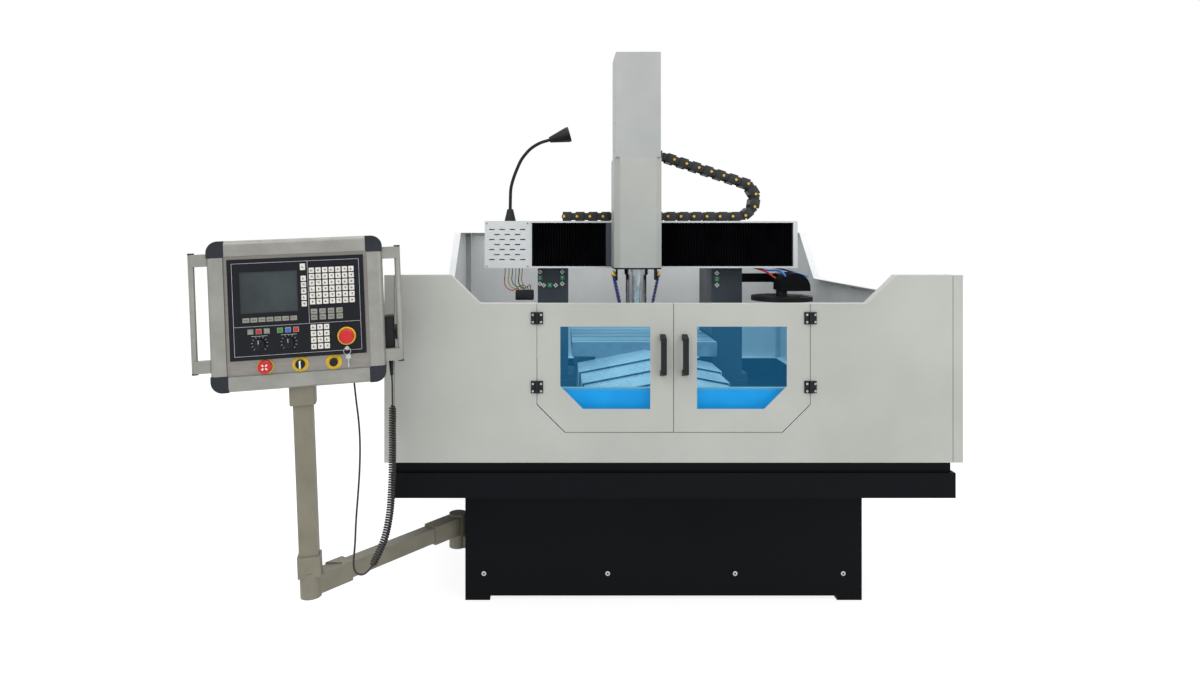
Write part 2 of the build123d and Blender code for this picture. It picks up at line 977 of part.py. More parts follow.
def nose_plate():
    low = lower_cover_bottom - nose_plate_thickness
    body = prism_z(lower_outline(0), low, lower_cover_bottom)
    body -= rod_z(nose_plate_hole, spindle_x, spindle_y, low - overrun, lower_cover_bottom + overrun)
    for side in (-1, 1):
        x0, x1 = sorted((side * tab_reach, side * (tab_reach + tab_thickness)))
        half = tab_depth / 2
        tab_low = low - tab_height
        body += block(spindle_x + x0, spindle_x + x1, spindle_y - half, spindle_y + half, tab_low, low)
    return body


def coolant_hose(side, ahead):
    # A brass elbow through the side tab carries a string of cone shaped links.
    z = lower_cover_bottom - nose_plate_thickness - tab_height / 2
    y = spindle_y - ahead
    start = tab_reach + tab_thickness
    x0, x1 = sorted((spindle_x + side * start, spindle_x + side * (start + valve_length)))
    valve = rod_x(valve_radius, x0, x1, y, z)
    links = None
    for index in range(hose_bead_count):
        low = -(index + 1) * hose_bead_pitch
        ends = [
            Plane((0, 0, low)) * RegularPolygon(hose_big_radius, hose_side_count),
            Plane((0, 0, low + hose_bead_pitch)) * RegularPolygon(hose_small_radius, hose_side_count),
        ]
        link = loft(ends)
        links = link if links is None else links + link
    end = spindle_x + side * (start + valve_length - hose_big_radius)
    return valve + Pos(end, y, z) * Rot(0, side * hose_lean, 0) * links


def ram():
    x0 = spindle_x - ram_half
    x1 = spindle_x + ram_half
    body = block(x0, x1, ram_front, ram_back, ram_bottom, ram_top)
    bore = spindle_core_radius + run_clear
    body -= rod_z(bore, spindle_x, spindle_y, ram_bottom - overrun, ram_top + overrun)
    middle = (ram_bottom + ram_top) / 2
    half = z_support_half
    low = middle - nut_length / 2
    high = middle + nut_length / 2
    body += block(spindle_x - half, spindle_x + half, ram_back, z_screw_y + half, low, high)
    body -= rod_z(z_screw_radius + run_clear, spindle_x, z_screw_y, low - overrun, high + overrun)
    pieces = [body]
    for side in (-1, 1):
        x = spindle_x + side * z_rail_spread / 2
        half = z_guide_width / 2
        rail = z_rail_width / 2 + soft_gap
        face = plate_front - z_rail_height - soft_gap
        for low in (ram_bottom, ram_top - z_guide_length):
            high = low + z_guide_length
            guide = block(x - half, x + half, ram_back, plate_front - sheet, low, high)
            guide -= block(x - rail, x + rail, face, plate_front, low - overrun, high + overrun)
            pieces.append(guide)
    return pieces


def spindle_housing():
    flange_bottom = ram_bottom - spindle_flange_drop
    body = rod_z(spindle_body_radius, spindle_x, spindle_y, spindle_bottom, flange_bottom)
    body += rod_z(spindle_flange_radius, spindle_x, spindle_y, flange_bottom, ram_bottom)
    body += rod_z(spindle_core_radius, spindle_x, spindle_y, ram_bottom, ram_top)
    body += rod_z(spindle_cap_radius, spindle_x, spindle_y, ram_top, ram_top + spindle_cap_height)
    bore_top = spindle_bottom + shaft_length + soft_gap
    bore = shaft_radius + run_clear
    return body - rod_z(bore, spindle_x, spindle_y, spindle_bottom - overrun, bore_top)


def spindle_nose():
    top = spindle_bottom - soft_gap
    low = top - nose_length
    place = Pos(spindle_x, spindle_y, (low + top) / 2)
    body = place * Cone(nose_radius - nose_taper, nose_radius, nose_length)
    body += rod_z(shaft_radius, spindle_x, spindle_y, top, spindle_bottom + shaft_length)
    return body - rod_z(tool_bore_radius, spindle_x, spindle_y, low - overrun, low + tool_bore_depth)


def chain_points():
    # Joints of the chain in the XZ plane: along the beam, round the bend and up to the carriage.
    z = beam_top + link_height / 2
    points = [(beam_left + chain_start, z)]
    turn = (180 - chain_rise_angle) / (chain_bend_links + 1)
    headings = [0] * chain_lower_links
    headings += [turn * (index + 1) for index in range(chain_bend_links)]
    headings += [180 - chain_rise_angle] * chain_upper_links
    for heading in headings:
        x, z = points[-1]
        angle = math.radians(heading)
        points.append((x + link_pitch * math.cos(angle), z + link_pitch * math.sin(angle)))
    return points


def chain_tube(length, width, height):
    inside = Box(length + overrun, link_neck_width - 2 * link_wall, link_neck_height - 2 * link_wall)
    return Box(length, width, height) - inside


def x_chain():
    points = chain_points()
    y = guard_front + link_setback + link_width / 2
    body = None
    heading_before = 0
    for start, end in zip(points, points[1:]):
        heading = math.degrees(math.atan2(end[1] - start[1], end[0] - start[0]))
        middle = Pos((start[0] + end[0]) / 2, y, (start[1] + end[1]) / 2)
        link = middle * Rot(0, -heading, 0) * chain_tube(link_pitch - link_gap, link_width, link_height)
        if body is None:
            body = link
        else:
            mean = (heading + heading_before) / 2
            neck = chain_tube(link_neck_length, link_neck_width, link_neck_height)
            body += link
            body += Pos(start[0], y, start[1]) * Rot(0, -mean, 0) * neck
        heading_before = heading
    return body


def bend_radii(points):
    radii = []
    for before, here, after in zip(points, points[1:], points[2:]):
        first = Vector(*here) - Vector(*before)
        second = Vector(*after) - Vector(*here)
        turn = math.radians(first.get_angle(second))
        run = min(first.length, second.length)
        radii.append(run * 0.45 / math.tan(turn / 2))
    return radii


def tube(points, radius):
    radii = bend_radii(points)
    print("bend radii", [round(value) for value in radii])
    path = FilletPolyline(*points, radius=radii)
    section = Plane(origin=path @ 0, z_dir=path % 0) * RegularPolygon(radius, tube_side_count)
    return sweep(section, path)


def work_lamp():
    x = beam_left - motor_box_width + lamp_inset
    y = guard_front + lamp_setback
    top = beam_top + lamp_base_height
    middle = Pos(x, y, (beam_top + top) / 2)
    base = middle * Cone(lamp_base_radius, lamp_base_top_radius, lamp_base_height)
    neck = tube([(x + dx, y, top + dz) for dx, dz in lamp_neck_route], lamp_neck_radius)
    end_x, end_z = lamp_neck_route[-1]
    cone_length = lamp_head_length - lamp_rim
    head = Pos(0, 0, cone_length / 2) * Cone(lamp_head_neck_radius, lamp_head_radius, cone_length)
    head += Pos(0, 0, cone_length + lamp_rim / 2) * Cylinder(lamp_head_radius, lamp_rim)
    mouth = lamp_head_radius - lamp_mouth_wall
    head -= Pos(0, 0, lamp_head_length) * Cylinder(mouth, lamp_lens_depth + lamp_lens_depth)
    before_x, before_z = lamp_neck_route[-2]
    heading = math.degrees(math.atan2(end_z - before_z, end_x - before_x))
    head = Pos(x + end_x, y, top + end_z) * Rot(0, 90 - heading, 0) * head
    return [base, neck, head]


def carousel_mount():
    half = carousel_arm_size / 2
    z0 = beam_bottom - carousel_arm_drop
    z1 = z0 + carousel_arm_size
    rear = upright_front + carousel_arm_size
    housing_rear = disc_y + housing_depth / 2
    arm_x = disc_x + housing_shift
    body = block(upright_outer, arm_x + half, upright_front, rear, z0, z1)
    body += block(arm_x - half, arm_x + half, housing_rear, upright_front, z0, z1)
    hub_top = disc_top + hub_height
    low = hub_top + soft_gap
    radius = housing_width / 2
    left = arm_x - radius
    right = arm_x + radius
    front = disc_y - housing_depth / 2
    body += block(left, right, front, housing_rear, low, low + housing_height)
    arch = rod_y(radius, arm_x, front, housing_rear, low + housing_height)
    body += arch - block(left, right, front, housing_rear, low - housing_width, low)
    body += rod_z(axle_radius, disc_x, disc_y, disc_bottom - soft_gap - axle_flange, low)
    flange_top = disc_bottom - soft_gap
    body += rod_z(axle_flange_radius, disc_x, disc_y, flange_top - axle_flange, flange_top)
    return body


def tool_disc():
    hub_top = disc_top + hub_height
    body = rod_z(disc_radius, disc_x, disc_y, disc_bottom, disc_top)
    body += rod_z(hub_radius, disc_x, disc_y, disc_top, hub_top)
    for index in range(pocket_count):
        angle = math.radians(360 / pocket_count * (index + 0.5))
        x = disc_x + pocket_ring * math.cos(angle)
        y = disc_y + pocket_ring * math.sin(angle)
        body -= rod_z(pocket_radius, x, y, disc_bottom - overrun, disc_top + overrun)
    return body - rod_z(axle_radius + run_clear, disc_x, disc_y, disc_bottom - overrun, hub_top + overrun)


def arm_bracket():
    top = arm_level - hub_half_height
    low = top - pivot_foot
    body = rod_z(hub_outer_radius, pivot_x, pivot_y, low, top)
    half = arm_tube_width / 2
    body += block(pivot_x, -base_width / 2, pivot_y - half, pivot_y + half, low, top)
    return body + rod_z(pivot_pin_radius, pivot_x, pivot_y, top, arm_level + hub_half_height)


def swing_arm():
    place = Pos(pivot_x, pivot_y, arm_level) * Rot(0, 0, arm_angle)
    body = place * Pos(arm_length / 2, 0, 0) * Box(arm_length, arm_tube_width, arm_tube_height)
    wide = arm_tube_width + 2 * socket_wall
    tall = arm_tube_height + 2 * socket_wall
    for along in (socket_length, arm_length - socket_length):
        body += place * Pos(along, 0, 0) * Box(socket_length + socket_length, wide, tall)
    low = arm_level - hub_half_height
    body += rod_z(hub_outer_radius, pivot_x, pivot_y, low, arm_level + hub_half_height)
    length = elbow_rise + elbow_drop
    elbow = Pos(0, 0, -length / 2) * Cylinder(hub_outer_radius, length)
    body += lean_frame * elbow
    trim = hub_outer_radius + arm_tube_width
    body -= lean_frame * Pos(0, 0, trim) * Box(2 * trim, 2 * trim, 2 * trim)
    body += lean_frame * Pos(0, 0, pole_sleeve_height / 2) * Cylinder(pivot_pin_radius, pole_sleeve_height)
    room = rod_z(pivot_pin_radius + run_clear, pivot_x, pivot_y, low - overrun, arm_level + hub_half_height)
    return body - room


def pole():
    sleeve_x = pole_width + 2 * socket_wall
    sleeve_y = pole_depth + 2 * socket_wall
    sleeve = Pos(0, 0, pole_sleeve_height / 2) * Box(sleeve_x, sleeve_y, pole_sleeve_height)
    ring = Pos(0, 0, socket_wall) * Cylinder(hub_outer_radius, socket_wall + socket_wall)
    post = Pos(0, 0, pole_length / 2) * Box(pole_width, pole_depth, pole_length)
    collar_x = pole_width + 2 * pole_collar_wall
    collar_y = pole_depth + 2 * pole_collar_wall
    collar = Box(collar_x, collar_y, pole_collar_height)
    collar = fillet(collar.edges().filter_by(Axis.Z), pole_round)
    sleeve = fillet(sleeve.edges().filter_by(Axis.Z), pole_round)
    body = post + sleeve + ring + Pos(0, 0, pole_length - pole_collar_height / 2) * collar
    bore = Cylinder(pivot_pin_radius + run_clear, pole_sleeve_height + soft_gap)
    return body - Pos(0, 0, (pole_sleeve_height + soft_gap) / 2) * bore


# Levels in the pendant's own directions: front is at the lowest Y, height runs from the arm's elbow
case_bottom = pole_length
case_top = case_bottom + case_height
case_half = case_width / 2
case_front = -case_depth / 2
inner_half = case_half - bar_width
inner_bottom = case_bottom + bar_width
inner_top = case_top - bar_width
plate_y = case_front + plate_recess
face_y = plate_y - face_thickness
face_left = -face_width / 2
face_top = inner_top - face_top_gap
face_bottom = face_top - face_height
strip_z = inner_bottom + strip_rise
wheel_box_top = case_top - wheel_box_drop
wheel_box_bottom = wheel_box_top - wheel_box_height
wheel_y = wheel_box_depth / 2 - wheel_box_behind
wheel_z = wheel_box_bottom + wheel_rise
face_spots = {
    "estop_button": (face_left + estop_left, face_top - estop_top),
    "feed_knob": (face_left + feed_knob_left, face_top - knob_top),
    "speed_knob": (face_left + speed_knob_left, face_top - knob_top),
}
strip_spots = {
    "red_button": (red_button_shift, strip_z),
    "selector_knob": (selector_shift, strip_z),
    "push_button": (push_button_shift, strip_z),
}


def stem_bores(spots, face, depth):
    bores = [rod_y(button_stem + run_clear, x, face - overrun, face + depth, z) for x, z in spots.values()]
    return Compound(bores)


def pendant_case():
    rear = case_depth / 2
    body = block(-inner_half, inner_half, plate_y, rear, inner_bottom, inner_top)
    bores = stem_bores(face_spots, plate_y, stem_room) + stem_bores(strip_spots, plate_y, stem_room)
    return body - bores


def pendant_bars():
    rear = case_front + bar_depth
    reach = case_half - corner_size
    pieces = []
    for z0, z1 in ((case_bottom, inner_bottom), (inner_top, case_top)):
        bar = block(-reach, reach, case_front, rear, z0, z1)
        outer = z0 if z0 == case_bottom else z1
        edges = bar.edges().filter_by(Axis.X).filter_by_position(Axis.Z, outer, outer)
        pieces.append(fillet(edges.sort_by(Axis.Y)[:1], bar_round))
    low = case_bottom + corner_size
    high = case_top - corner_size
    for side in (-1, 1):
        x0, x1 = sorted((side * inner_half, side * case_half))
        bar = block(x0, x1, case_front, rear, low, high)
        edges = bar.edges().filter_by(Axis.Z).filter_by_position(Axis.X, side * case_half, side * case_half)
        pieces.append(fillet(edges.sort_by(Axis.Y)[:1], bar_round))
    return pieces


def frame_corners():
    rear = case_front + bar_depth
    pieces = []
    for side_x in (-1, 1):
        for side_z in (-1, 1):
            x0, x1 = sorted((side_x * case_half, side_x * (case_half - corner_size)))
            outer = case_top if side_z > 0 else case_bottom
            z0, z1 = sorted((outer, outer - side_z * corner_size))
            cap = block(x0, x1, case_front, rear, z0, z1)
            edges = cap.edges().filter_by(Axis.Y)
            edge = edges.filter_by_position(Axis.X, side_x * case_half, side_x * case_half)
            cap = fillet(edge.filter_by_position(Axis.Z, outer, outer), corner_round)
            front = case_front - overrun
            back = rear + overrun
            pieces.append(cap - block(-inner_half, inner_half, front, back, inner_bottom, inner_top))
    return pieces


def side_handles():
    pieces = []
    y = -handle_block_ahead
    half = handle_block_depth / 2
    high = case_top - handle_tube_drop
    low = high - handle_tube_length
    for side in (-1, 1):
        x = side * (case_half + handle_tube_reach)
        grip = rod_z(handle_tube_radius, x, y, low, high)
        x0, x1 = sorted((side * case_half, x))
        for z in (low, high - handle_block_height):
            grip += block(x0, x1, y - half, y + half, z, z + handle_block_height)
        pieces.append(grip)
    return pieces


def control_panel():
    body = block(face_left, -face_left, face_y, plate_y, face_bottom, face_top)
    return body - stem_bores(face_spots, face_y, face_thickness + overrun)


def lcd_screen():
    left = face_left + lcd_left
    top = face_top - lcd_top
    return block(left, left + lcd_width, face_y - lcd_thickness, face_y, top - lcd_height, top)


def panel_keys():
    pieces = []
    for group, (columns, rows) in zip(key_groups, key_group_counts):
        left, top, across, down, width, height = group
        for column in range(columns):
            for row in range(rows):
                x = face_left + left + column * across
                z = face_top - top - row * down
                key = Pos(x, face_y - key_height / 2, z) * Box(width, key_height, height)
                pieces.append(key)
    return pieces


def button(spot, face, radius, cap, travel):
    x, z = spot
    back = face - travel - soft_gap
    body = rod_y(radius, x, back - cap, back, z)
    body = chamfer(body.edges().sort_by(Axis.Y)[:1], cap / 6)
    return body + rod_y(button_stem, x, back, face + stem_length - travel, z)


def wheel_box():
    front = -wheel_box_behind
    rear = front + wheel_box_depth
    right = case_half + wheel_box_width
    body = block(case_half, right, front, rear, wheel_box_bottom, wheel_box_top)
    edges = body.edges().filter_by_position(Axis.X, right, right)
    body = fillet(edges, wheel_box_round)
    x = case_half + wheel_box_width / 2
    place = Pos(x, wheel_y, wheel_box_bottom - relief_length / 2)
    body += place * Cone(relief_tip_radius, relief_radius, relief_length)
    return body - rod_x(wheel_stem + run_clear, x, right + overrun, wheel_y, wheel_z)


def hand_wheel():
    right = case_half + wheel_box_width + soft_gap
    body = rod_x(wheel_radius, right, right + wheel_thickness, wheel_y, wheel_z)
    return body + rod_x(wheel_stem, right - wheel_box_width / 3, right, wheel_y, wheel_z)


def on_pendant(pieces):
    return [pendant_frame * piece for piece in pieces]


def fixed_nodes():
    save("base_frame", base_frame())
    save("chip_tray", chip_tray())
    save("bed", bed())
    save("uprights", *uprights())
    save("beam", beam())
    save("guide_rails", *guide_rails())
    save("axis_motors", *axis_motors())
    save("motor_box", motor_box())
    save("left_bellows", bellows(beam_left + bellows_frame, carriage_left))
    save("right_bellows", bellows(carriage_right, beam_right_reach))
    save("front_panel", front_panel())
    wall = side_wall()
    save("side_walls", wall, mirror(wall, Plane.YZ))
    save("rear_wall", rear_wall())
    save("end_way_covers", *way_covers(cover_count - 1))
    save("work_lamp", *work_lamp())
    save("x_chain", x_chain())
    save("carousel_mount", carousel_mount())
    save("arm_bracket", arm_bracket())
    hinges = [hinge(z, False) for z in hinge_levels()]
    save("fixed_hinges", *hinges, *[mirror(piece, Plane.YZ) for piece in hinges])


def moving_nodes():
    save("x_screw", rod_x(x_screw_radius, beam_left, beam_right_reach - soft_gap, x_screw_y, beam_middle))
    save("y_screw", rod_y(screw_radius, 0, bed_front, bed_rear, y_screw_z))
    bracket_top = z_bracket_level + z_bracket_thickness
    save("z_screw", rod_z(z_screw_radius, spindle_x, z_screw_y, plate_bottom, bracket_top - soft_gap))
    save("work_table", *work_table())
    save("table_way_covers", *way_covers(0))
    save("outer_way_covers", *way_covers(1))
    save("inner_way_covers", *way_covers(2))
    save("saddle", *saddle())
    save("upper_cover", upper_cover())
    save("lower_cover", lower_cover())
    save("nose_plate", nose_plate())
    hoses = [coolant_hose(-1, hose_spread), coolant_hose(-1, -hose_spread), coolant_hose(1, 0)]
    save("coolant_hoses", *hoses)
    save("ram", *ram())
    save("spindle_housing", spindle_housing())
    save("spindle_nose", spindle_nose())
    save("tool_disc", tool_disc())
    leaves = [hinge(z, True) for z in hinge_levels()]
    fittings = [door_handle()] + leaves
    save("right_door", door())
    save("right_window", door_window())
    save("right_fittings", *fittings)
    save("left_door", mirror(door(), Plane.YZ))
    save("left_window", mirror(door_window(), Plane.YZ))
    save("left_fittings", *[mirror(piece, Plane.YZ) for piece in fittings])


def pendant_nodes():
    save("swing_arm", swing_arm())
    save("pole", *on_pendant([pole()]))
    save("pendant_case", *on_pendant([pendant_case()]))
    save("pendant_bars", *on_pendant(pendant_bars()))
    save("frame_corners", *on_pendant(frame_corners()))
    save("side_handles", *on_pendant(side_handles()))
    save("control_panel", *on_pendant([control_panel()]))
    save("lcd_screen", *on_pendant([lcd_screen()]))
    save("panel_keys", *on_pendant(panel_keys()))
    estop = button(face_spots["estop_button"], face_y, estop_radius, estop_cap, button_travel)
    red = button(strip_spots["red_button"], plate_y, mushroom_radius, strip_cap, button_travel)
    push = button(strip_spots["push_button"], plate_y, push_radius, strip_cap, button_travel)
    save("estop_button", *on_pendant([estop]))
    save("red_button", *on_pendant([red]))
    save("push_button", *on_pendant([push]))
    selector = button(strip_spots["selector_knob"], plate_y, selector_radius, strip_cap, 0)
    feed = button(face_spots["feed_knob"], face_y, knob_radius, knob_height, 0)
    speed = button(face_spots["speed_knob"], face_y, knob_radius, knob_height, 0)
    save("selector_knob", *on_pendant([selector]))
    save("feed_knob", *on_pendant([feed]))
    save("speed_knob", *on_pendant([speed]))
    save("wheel_box", *on_pendant([wheel_box()]))
    save("hand_wheel", *on_pendant([hand_wheel()]))
    lead = [tube(lead_top_route, lead_radius), tube(lead_rise_route, lead_radius)]
    save("wheel_lead", *on_pendant(lead))
    save("wheel_coil", *on_pendant([tube(coil_route, coil_radius)]))


os.makedirs("parts", exist_ok=True)
fixed_nodes()
moving_nodes()
pendant_nodes()
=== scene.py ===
from math import atan2, cos, pi, radians, sin
import bpy
from mathutils import Matrix, Vector


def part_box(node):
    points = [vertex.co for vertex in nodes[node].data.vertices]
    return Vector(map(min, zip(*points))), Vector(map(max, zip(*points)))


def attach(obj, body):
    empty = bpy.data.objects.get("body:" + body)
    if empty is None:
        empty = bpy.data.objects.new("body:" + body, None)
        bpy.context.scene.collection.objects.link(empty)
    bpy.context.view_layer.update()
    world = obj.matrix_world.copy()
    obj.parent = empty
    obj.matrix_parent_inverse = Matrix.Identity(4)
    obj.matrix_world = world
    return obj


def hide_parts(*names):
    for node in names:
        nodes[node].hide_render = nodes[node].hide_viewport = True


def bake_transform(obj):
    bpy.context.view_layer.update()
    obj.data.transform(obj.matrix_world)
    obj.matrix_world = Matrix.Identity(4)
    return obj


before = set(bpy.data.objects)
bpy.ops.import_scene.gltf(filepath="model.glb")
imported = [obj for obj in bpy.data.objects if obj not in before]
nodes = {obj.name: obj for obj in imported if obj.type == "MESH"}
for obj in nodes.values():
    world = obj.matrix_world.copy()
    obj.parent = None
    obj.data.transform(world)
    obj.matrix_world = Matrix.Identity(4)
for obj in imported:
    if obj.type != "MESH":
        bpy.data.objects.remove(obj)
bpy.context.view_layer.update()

print("frame loaded:", len(nodes), "nodes")


# colour and node helpers

def hexColour(text):
    values = [int(text[i:i + 2], 16) / 255 for i in (1, 3, 5)]
    linear = [v / 12.92 if v <= 0.04045 else ((v + 0.055) / 1.055) ** 2.4 for v in values]
    return (*linear, 1.0)


def addNode(tree, kind, settings=None, links=None):
    node = tree.nodes.new(kind)
    for key, value in (settings or {}).items():
        if isinstance(key, str) and hasattr(node, key):
            setattr(node, key, value)
        else:
            node.inputs[key].default_value = value
    for key, socket in (links or {}).items():
        tree.links.new(socket, node.inputs[key])
    return node


def newMaterial(name, colour, roughness, metallic=0.0, **sockets):
    material = bpy.data.materials.new(name)
    material.use_nodes = True
    tree = material.node_tree
    shader = tree.nodes["Principled BSDF"]
    shader.inputs["Base Color"].default_value = hexColour(colour)
    shader.inputs["Roughness"].default_value = roughness
    shader.inputs["Metallic"].default_value = metallic
    for key, value in sockets.items():
        shader.inputs[key.replace("_", " ")].default_value = value
    material.diffuse_color = hexColour(colour)
    return material, tree, shader


def objectNoise(tree, grainMm, stretch, **settings):
    place = addNode(tree, "ShaderNodeTexCoord")
    turn = addNode(tree, "ShaderNodeMapping", {"Scale": stretch}, {"Vector": place.outputs["Object"]})
    settings["Scale"] = 1000 / grainMm
    return addNode(tree, "ShaderNodeTexNoise", settings, {"Vector": turn.outputs[0]})


def mottle(tree, shader, dark, light, grainMm, stretch=(1, 1, 1)):
    # slow drift between two close shades, so that a big flat sheet isn't one flat colour
    noise = objectNoise(tree, grainMm, stretch, Detail=4.0, Roughness=0.55)
    ramp = addNode(tree, "ShaderNodeValToRGB", {}, {"Fac": noise.outputs["Fac"]})
    for stop, position, shade in zip(ramp.color_ramp.elements, (0.35, 0.65), (dark, light)):
        stop.position = position
        stop.color = hexColour(shade)
    tree.links.new(ramp.outputs["Color"], shader.inputs["Base Color"])
    return noise


def grainBump(tree, shader, grainMm, strength, heightMm, stretch=(1, 1, 1)):
    noise = objectNoise(tree, grainMm, stretch, Detail=2.0)
    bump = addNode(tree, "ShaderNodeBump", {"Strength": strength, "Distance": heightMm / 1000},
                   {"Height": noise.outputs["Fac"]})
    tree.links.new(bump.outputs["Normal"], shader.inputs["Normal"])


def roughDrift(tree, shader, noise, low, high):
    drift = addNode(tree, "ShaderNodeMapRange", {"From Min": 0.3, "From Max": 0.7, "To Min": low,
                                                 "To Max": high}, {"Value": noise.outputs["Fac"]})
    tree.links.new(drift.outputs["Result"], shader.inputs["Roughness"])


def finish(name, colour, shades, grainMm, rough, bump=None, metallic=0.0, stretch=(1, 1, 1), **sockets):
    # shade and roughness drift together; bump holds grain in mm, strength, height in mm and any stretch
    material, tree, shader = newMaterial(name, colour, sum(rough) / 2, metallic, **sockets)
    drift = mottle(tree, shader, *shades, grainMm, stretch)
    if bump:
        grainBump(tree, shader, *bump)
    roughDrift(tree, shader, drift, *rough)
    return material


# powder coated steel sheet: satin, faint orange peel drawn at 6 mm so that it shows
orangePeel = (6, 0.08, 0.4)
panelPaint = finish("powderCoatLightGrey", "#B9BAB4", ("#B4B5AF", "#BEBFB9"), 420, (0.38, 0.5), orangePeel,
                    Specular_IOR_Level=0.3)

# inner walls, beam and motor box: the same coat in white
wallPaint = finish("powderCoatWhite", "#DFE1E1", ("#D9DBDB", "#E4E6E6"), 380, (0.38, 0.5), orangePeel,
                   Specular_IOR_Level=0.35)

# upper head cover: a middle grey of the same coat
coverPaint = finish("powderCoatCoolGrey", "#B4B6B4", ("#AEB0AE", "#BABCBA"), 300, (0.36, 0.5), orangePeel,
                    Specular_IOR_Level=0.35)

# textured black powder coat: matt, coarse grain, dust lifts the shade in patches
blackPaint = finish("powderCoatBlack", "#04070A", ("#030608", "#080C10"), 260, (0.45, 0.65), (4, 0.25, 0.5),
                    Specular_IOR_Level=0.1)

# enamelled iron casting: slightly wavy satin grey
castingPaint = finish("castingEnamelGrey", "#3D464F", ("#384149", "#444D56"), 180, (0.4, 0.55),
                      (9, 0.25, 0.6))

# ground cast iron: bright grey with fine cross feed lines
groundIron = finish("groundCastIron", "#CDD1D3", ("#C4C8CB", "#D5D9DA"), 30, (0.3, 0.46),
                    (2, 0.08, 0.1, (0.05, 1, 1)), 0.2, (0.12, 1, 1))

# milled cast iron of the table's sides and slots: duller and darker than the ground top; in the slots the
# darker tone is also painted shade
milledIronAndSlotShade = finish("milledCastIronAndSlotShade", "#848B91", ("#7C8389", "#8C9399"), 40, (0.44, 0.58),
                    (3, 0.1, 0.1, (1, 1, 0.1)), 0.3)

# ground steel: bright, nearly mirror, streaked along its length
groundSteel = finish("groundSteel", "#B9BCBF", ("#AEB1B4", "#C4C7CA"), 12, (0.18, 0.34), None, 1.0,
                     (1, 1, 0.2))

# brushed stainless sheet: warm grey streaks along X
brushedSheet = finish("brushedStainless", "#8E8A84", ("#898580", "#938F89"), 8, (0.28, 0.44),
                      (1.5, 0.06, 0.05, (0.02, 1, 1)), 0.7, (0.03, 1, 1))

# pressed stainless way covers: brighter, with marks drawn out along the travel
coverSheet = finish("wayCoverStainless", "#DCE0E2", ("#D4D8DA", "#E4E8EA"), 160, (0.22, 0.4), None, 0.25,
                    (1, 0.3, 1))

# coated bellows cloth: black, weave drawn at 3 mm, slight sheen on the folds
bellowsCloth = finish("coatedBellowsCloth", "#04050A", ("#030408", "#08090F"), 90, (0.5, 0.7), (3, 0.25, 0.3),
                      Specular_IOR_Level=0.18)

# moulded black nylon and ABS: fine spark texture
blackPlastic = finish("mouldedBlackNylon", "#0C0E10", ("#090B0D", "#121416"), 60, (0.38, 0.55),
                      (1.6, 0.15, 0.2), Specular_IOR_Level=0.3)

# corner mouldings of the pendant: blue black ABS
cornerPlastic = finish("mouldedCornerAbs", "#20242B", ("#1C2026", "#262A31"), 40, (0.44, 0.58),
                       (1.6, 0.2, 0.2), Specular_IOR_Level=0.3)

# blue tinted acrylic glazing: clear sheet that colours what is behind it, with a thin shine and a faint
# painted blue glow (an emission, no lamp)
blueGlazing, tree, shader = newMaterial("blueAcrylic", "#8CC8F2", 0.06)
clear = addNode(tree, "ShaderNodeBsdfTransparent", {"Color": hexColour("#D4F3FF")})
# painted glow: the glass gives off a little blue light of its own
paintedGlassGlow = addNode(tree, "ShaderNodeEmission", {"Color": hexColour("#35A6E6"), "Strength": 0.09})
shine = addNode(tree, "ShaderNodeFresnel", {"IOR": 1.18})
mottle(tree, shader, "#7FBDEB", "#9AD1F5", 260)
glass = addNode(tree, "ShaderNodeMixShader", {}, {0: shine.outputs[0], 1: clear.outputs[0],
                                                  2: shader.outputs[0]})
glassWithPaintedGlow = addNode(tree, "ShaderNodeAddShader", {}, {0: glass.outputs[0], 1: paintedGlassGlow.outputs[0]})
tree.links.new(glassWithPaintedGlow.outputs[0], tree.nodes["Material Output"].inputs["Surface"])

# protective film on the apron behind the glass: saturated blue polythene, slightly rippled, made brighter by
# a painted glow (emission)
blueFilmPaintedGlow, tree, shader = newMaterial("bluePolytheneFilmPaintedGlow", "#2AA0C2", 0.35,
                                     Emission_Color=hexColour("#128CB3"), Emission_Strength=0.3)
mottle(tree, shader, "#2499BD", "#38AAC8", 70)
grainBump(tree, shader, 30, 0.25, 1.0)

# extruded anodised aluminium: pale satin with a very fine grain
anodised = finish("anodisedAluminium", "#96958F", ("#908F89", "#9C9B95"), 60, (0.3, 0.42), (2, 0.05, 0.05),
                  0.35)

# painted steel tube of arm and pole: beige grey satin
tubePaint = finish("tubePaintBeige", "#848071", ("#7D796A", "#8B8778"), 120, (0.4, 0.52), (5, 0.1, 0.3),
                   Specular_IOR_Level=0.3)

# screen printed polycarbonate overlay: navy black, soft sheen
overlay = finish("printedOverlayNavy", "#060A14", ("#050810", "#080D19"), 60, (0.3, 0.42), (1.5, 0.05, 0.05),
                 Specular_IOR_Level=0.25)

# switched off display: dark green grey glass with a low gloss
displayGlass = finish("displayGlassDark", "#242B2D", ("#262D2F", "#3B4446"), 160, (0.14, 0.24),
                      Specular_IOR_Level=0.35)


def dyedPlastic(name, colour, dark, light, roughness=0.4):
    return finish(name, colour, (dark, light), 25, (roughness - 0.06, roughness + 0.08), (1.5, 0.08, 0.08))


# moulded key tops and button caps, coloured through
whiteKey = dyedPlastic("keyPlasticWhite", "#E4E2DA", "#DDDAD1", "#EBE9E2")
greyKey = dyedPlastic("keyPlasticGrey", "#8B8C82", "#82837A", "#95968B")
redCap = dyedPlastic("capPlasticRed", "#C4161A", "#B81317", "#D01E21", 0.3)
greenCap = dyedPlastic("capPlasticGreen", "#1F8A34", "#1B7E2F", "#26963B", 0.35)
blueCap = dyedPlastic("capPlasticBlue", "#1F6FD0", "#1A65C2", "#2A7BDA", 0.35)
yellowCap = dyedPlastic("capPlasticYellow", "#E3B81C", "#D9AE16", "#ECC427", 0.38)

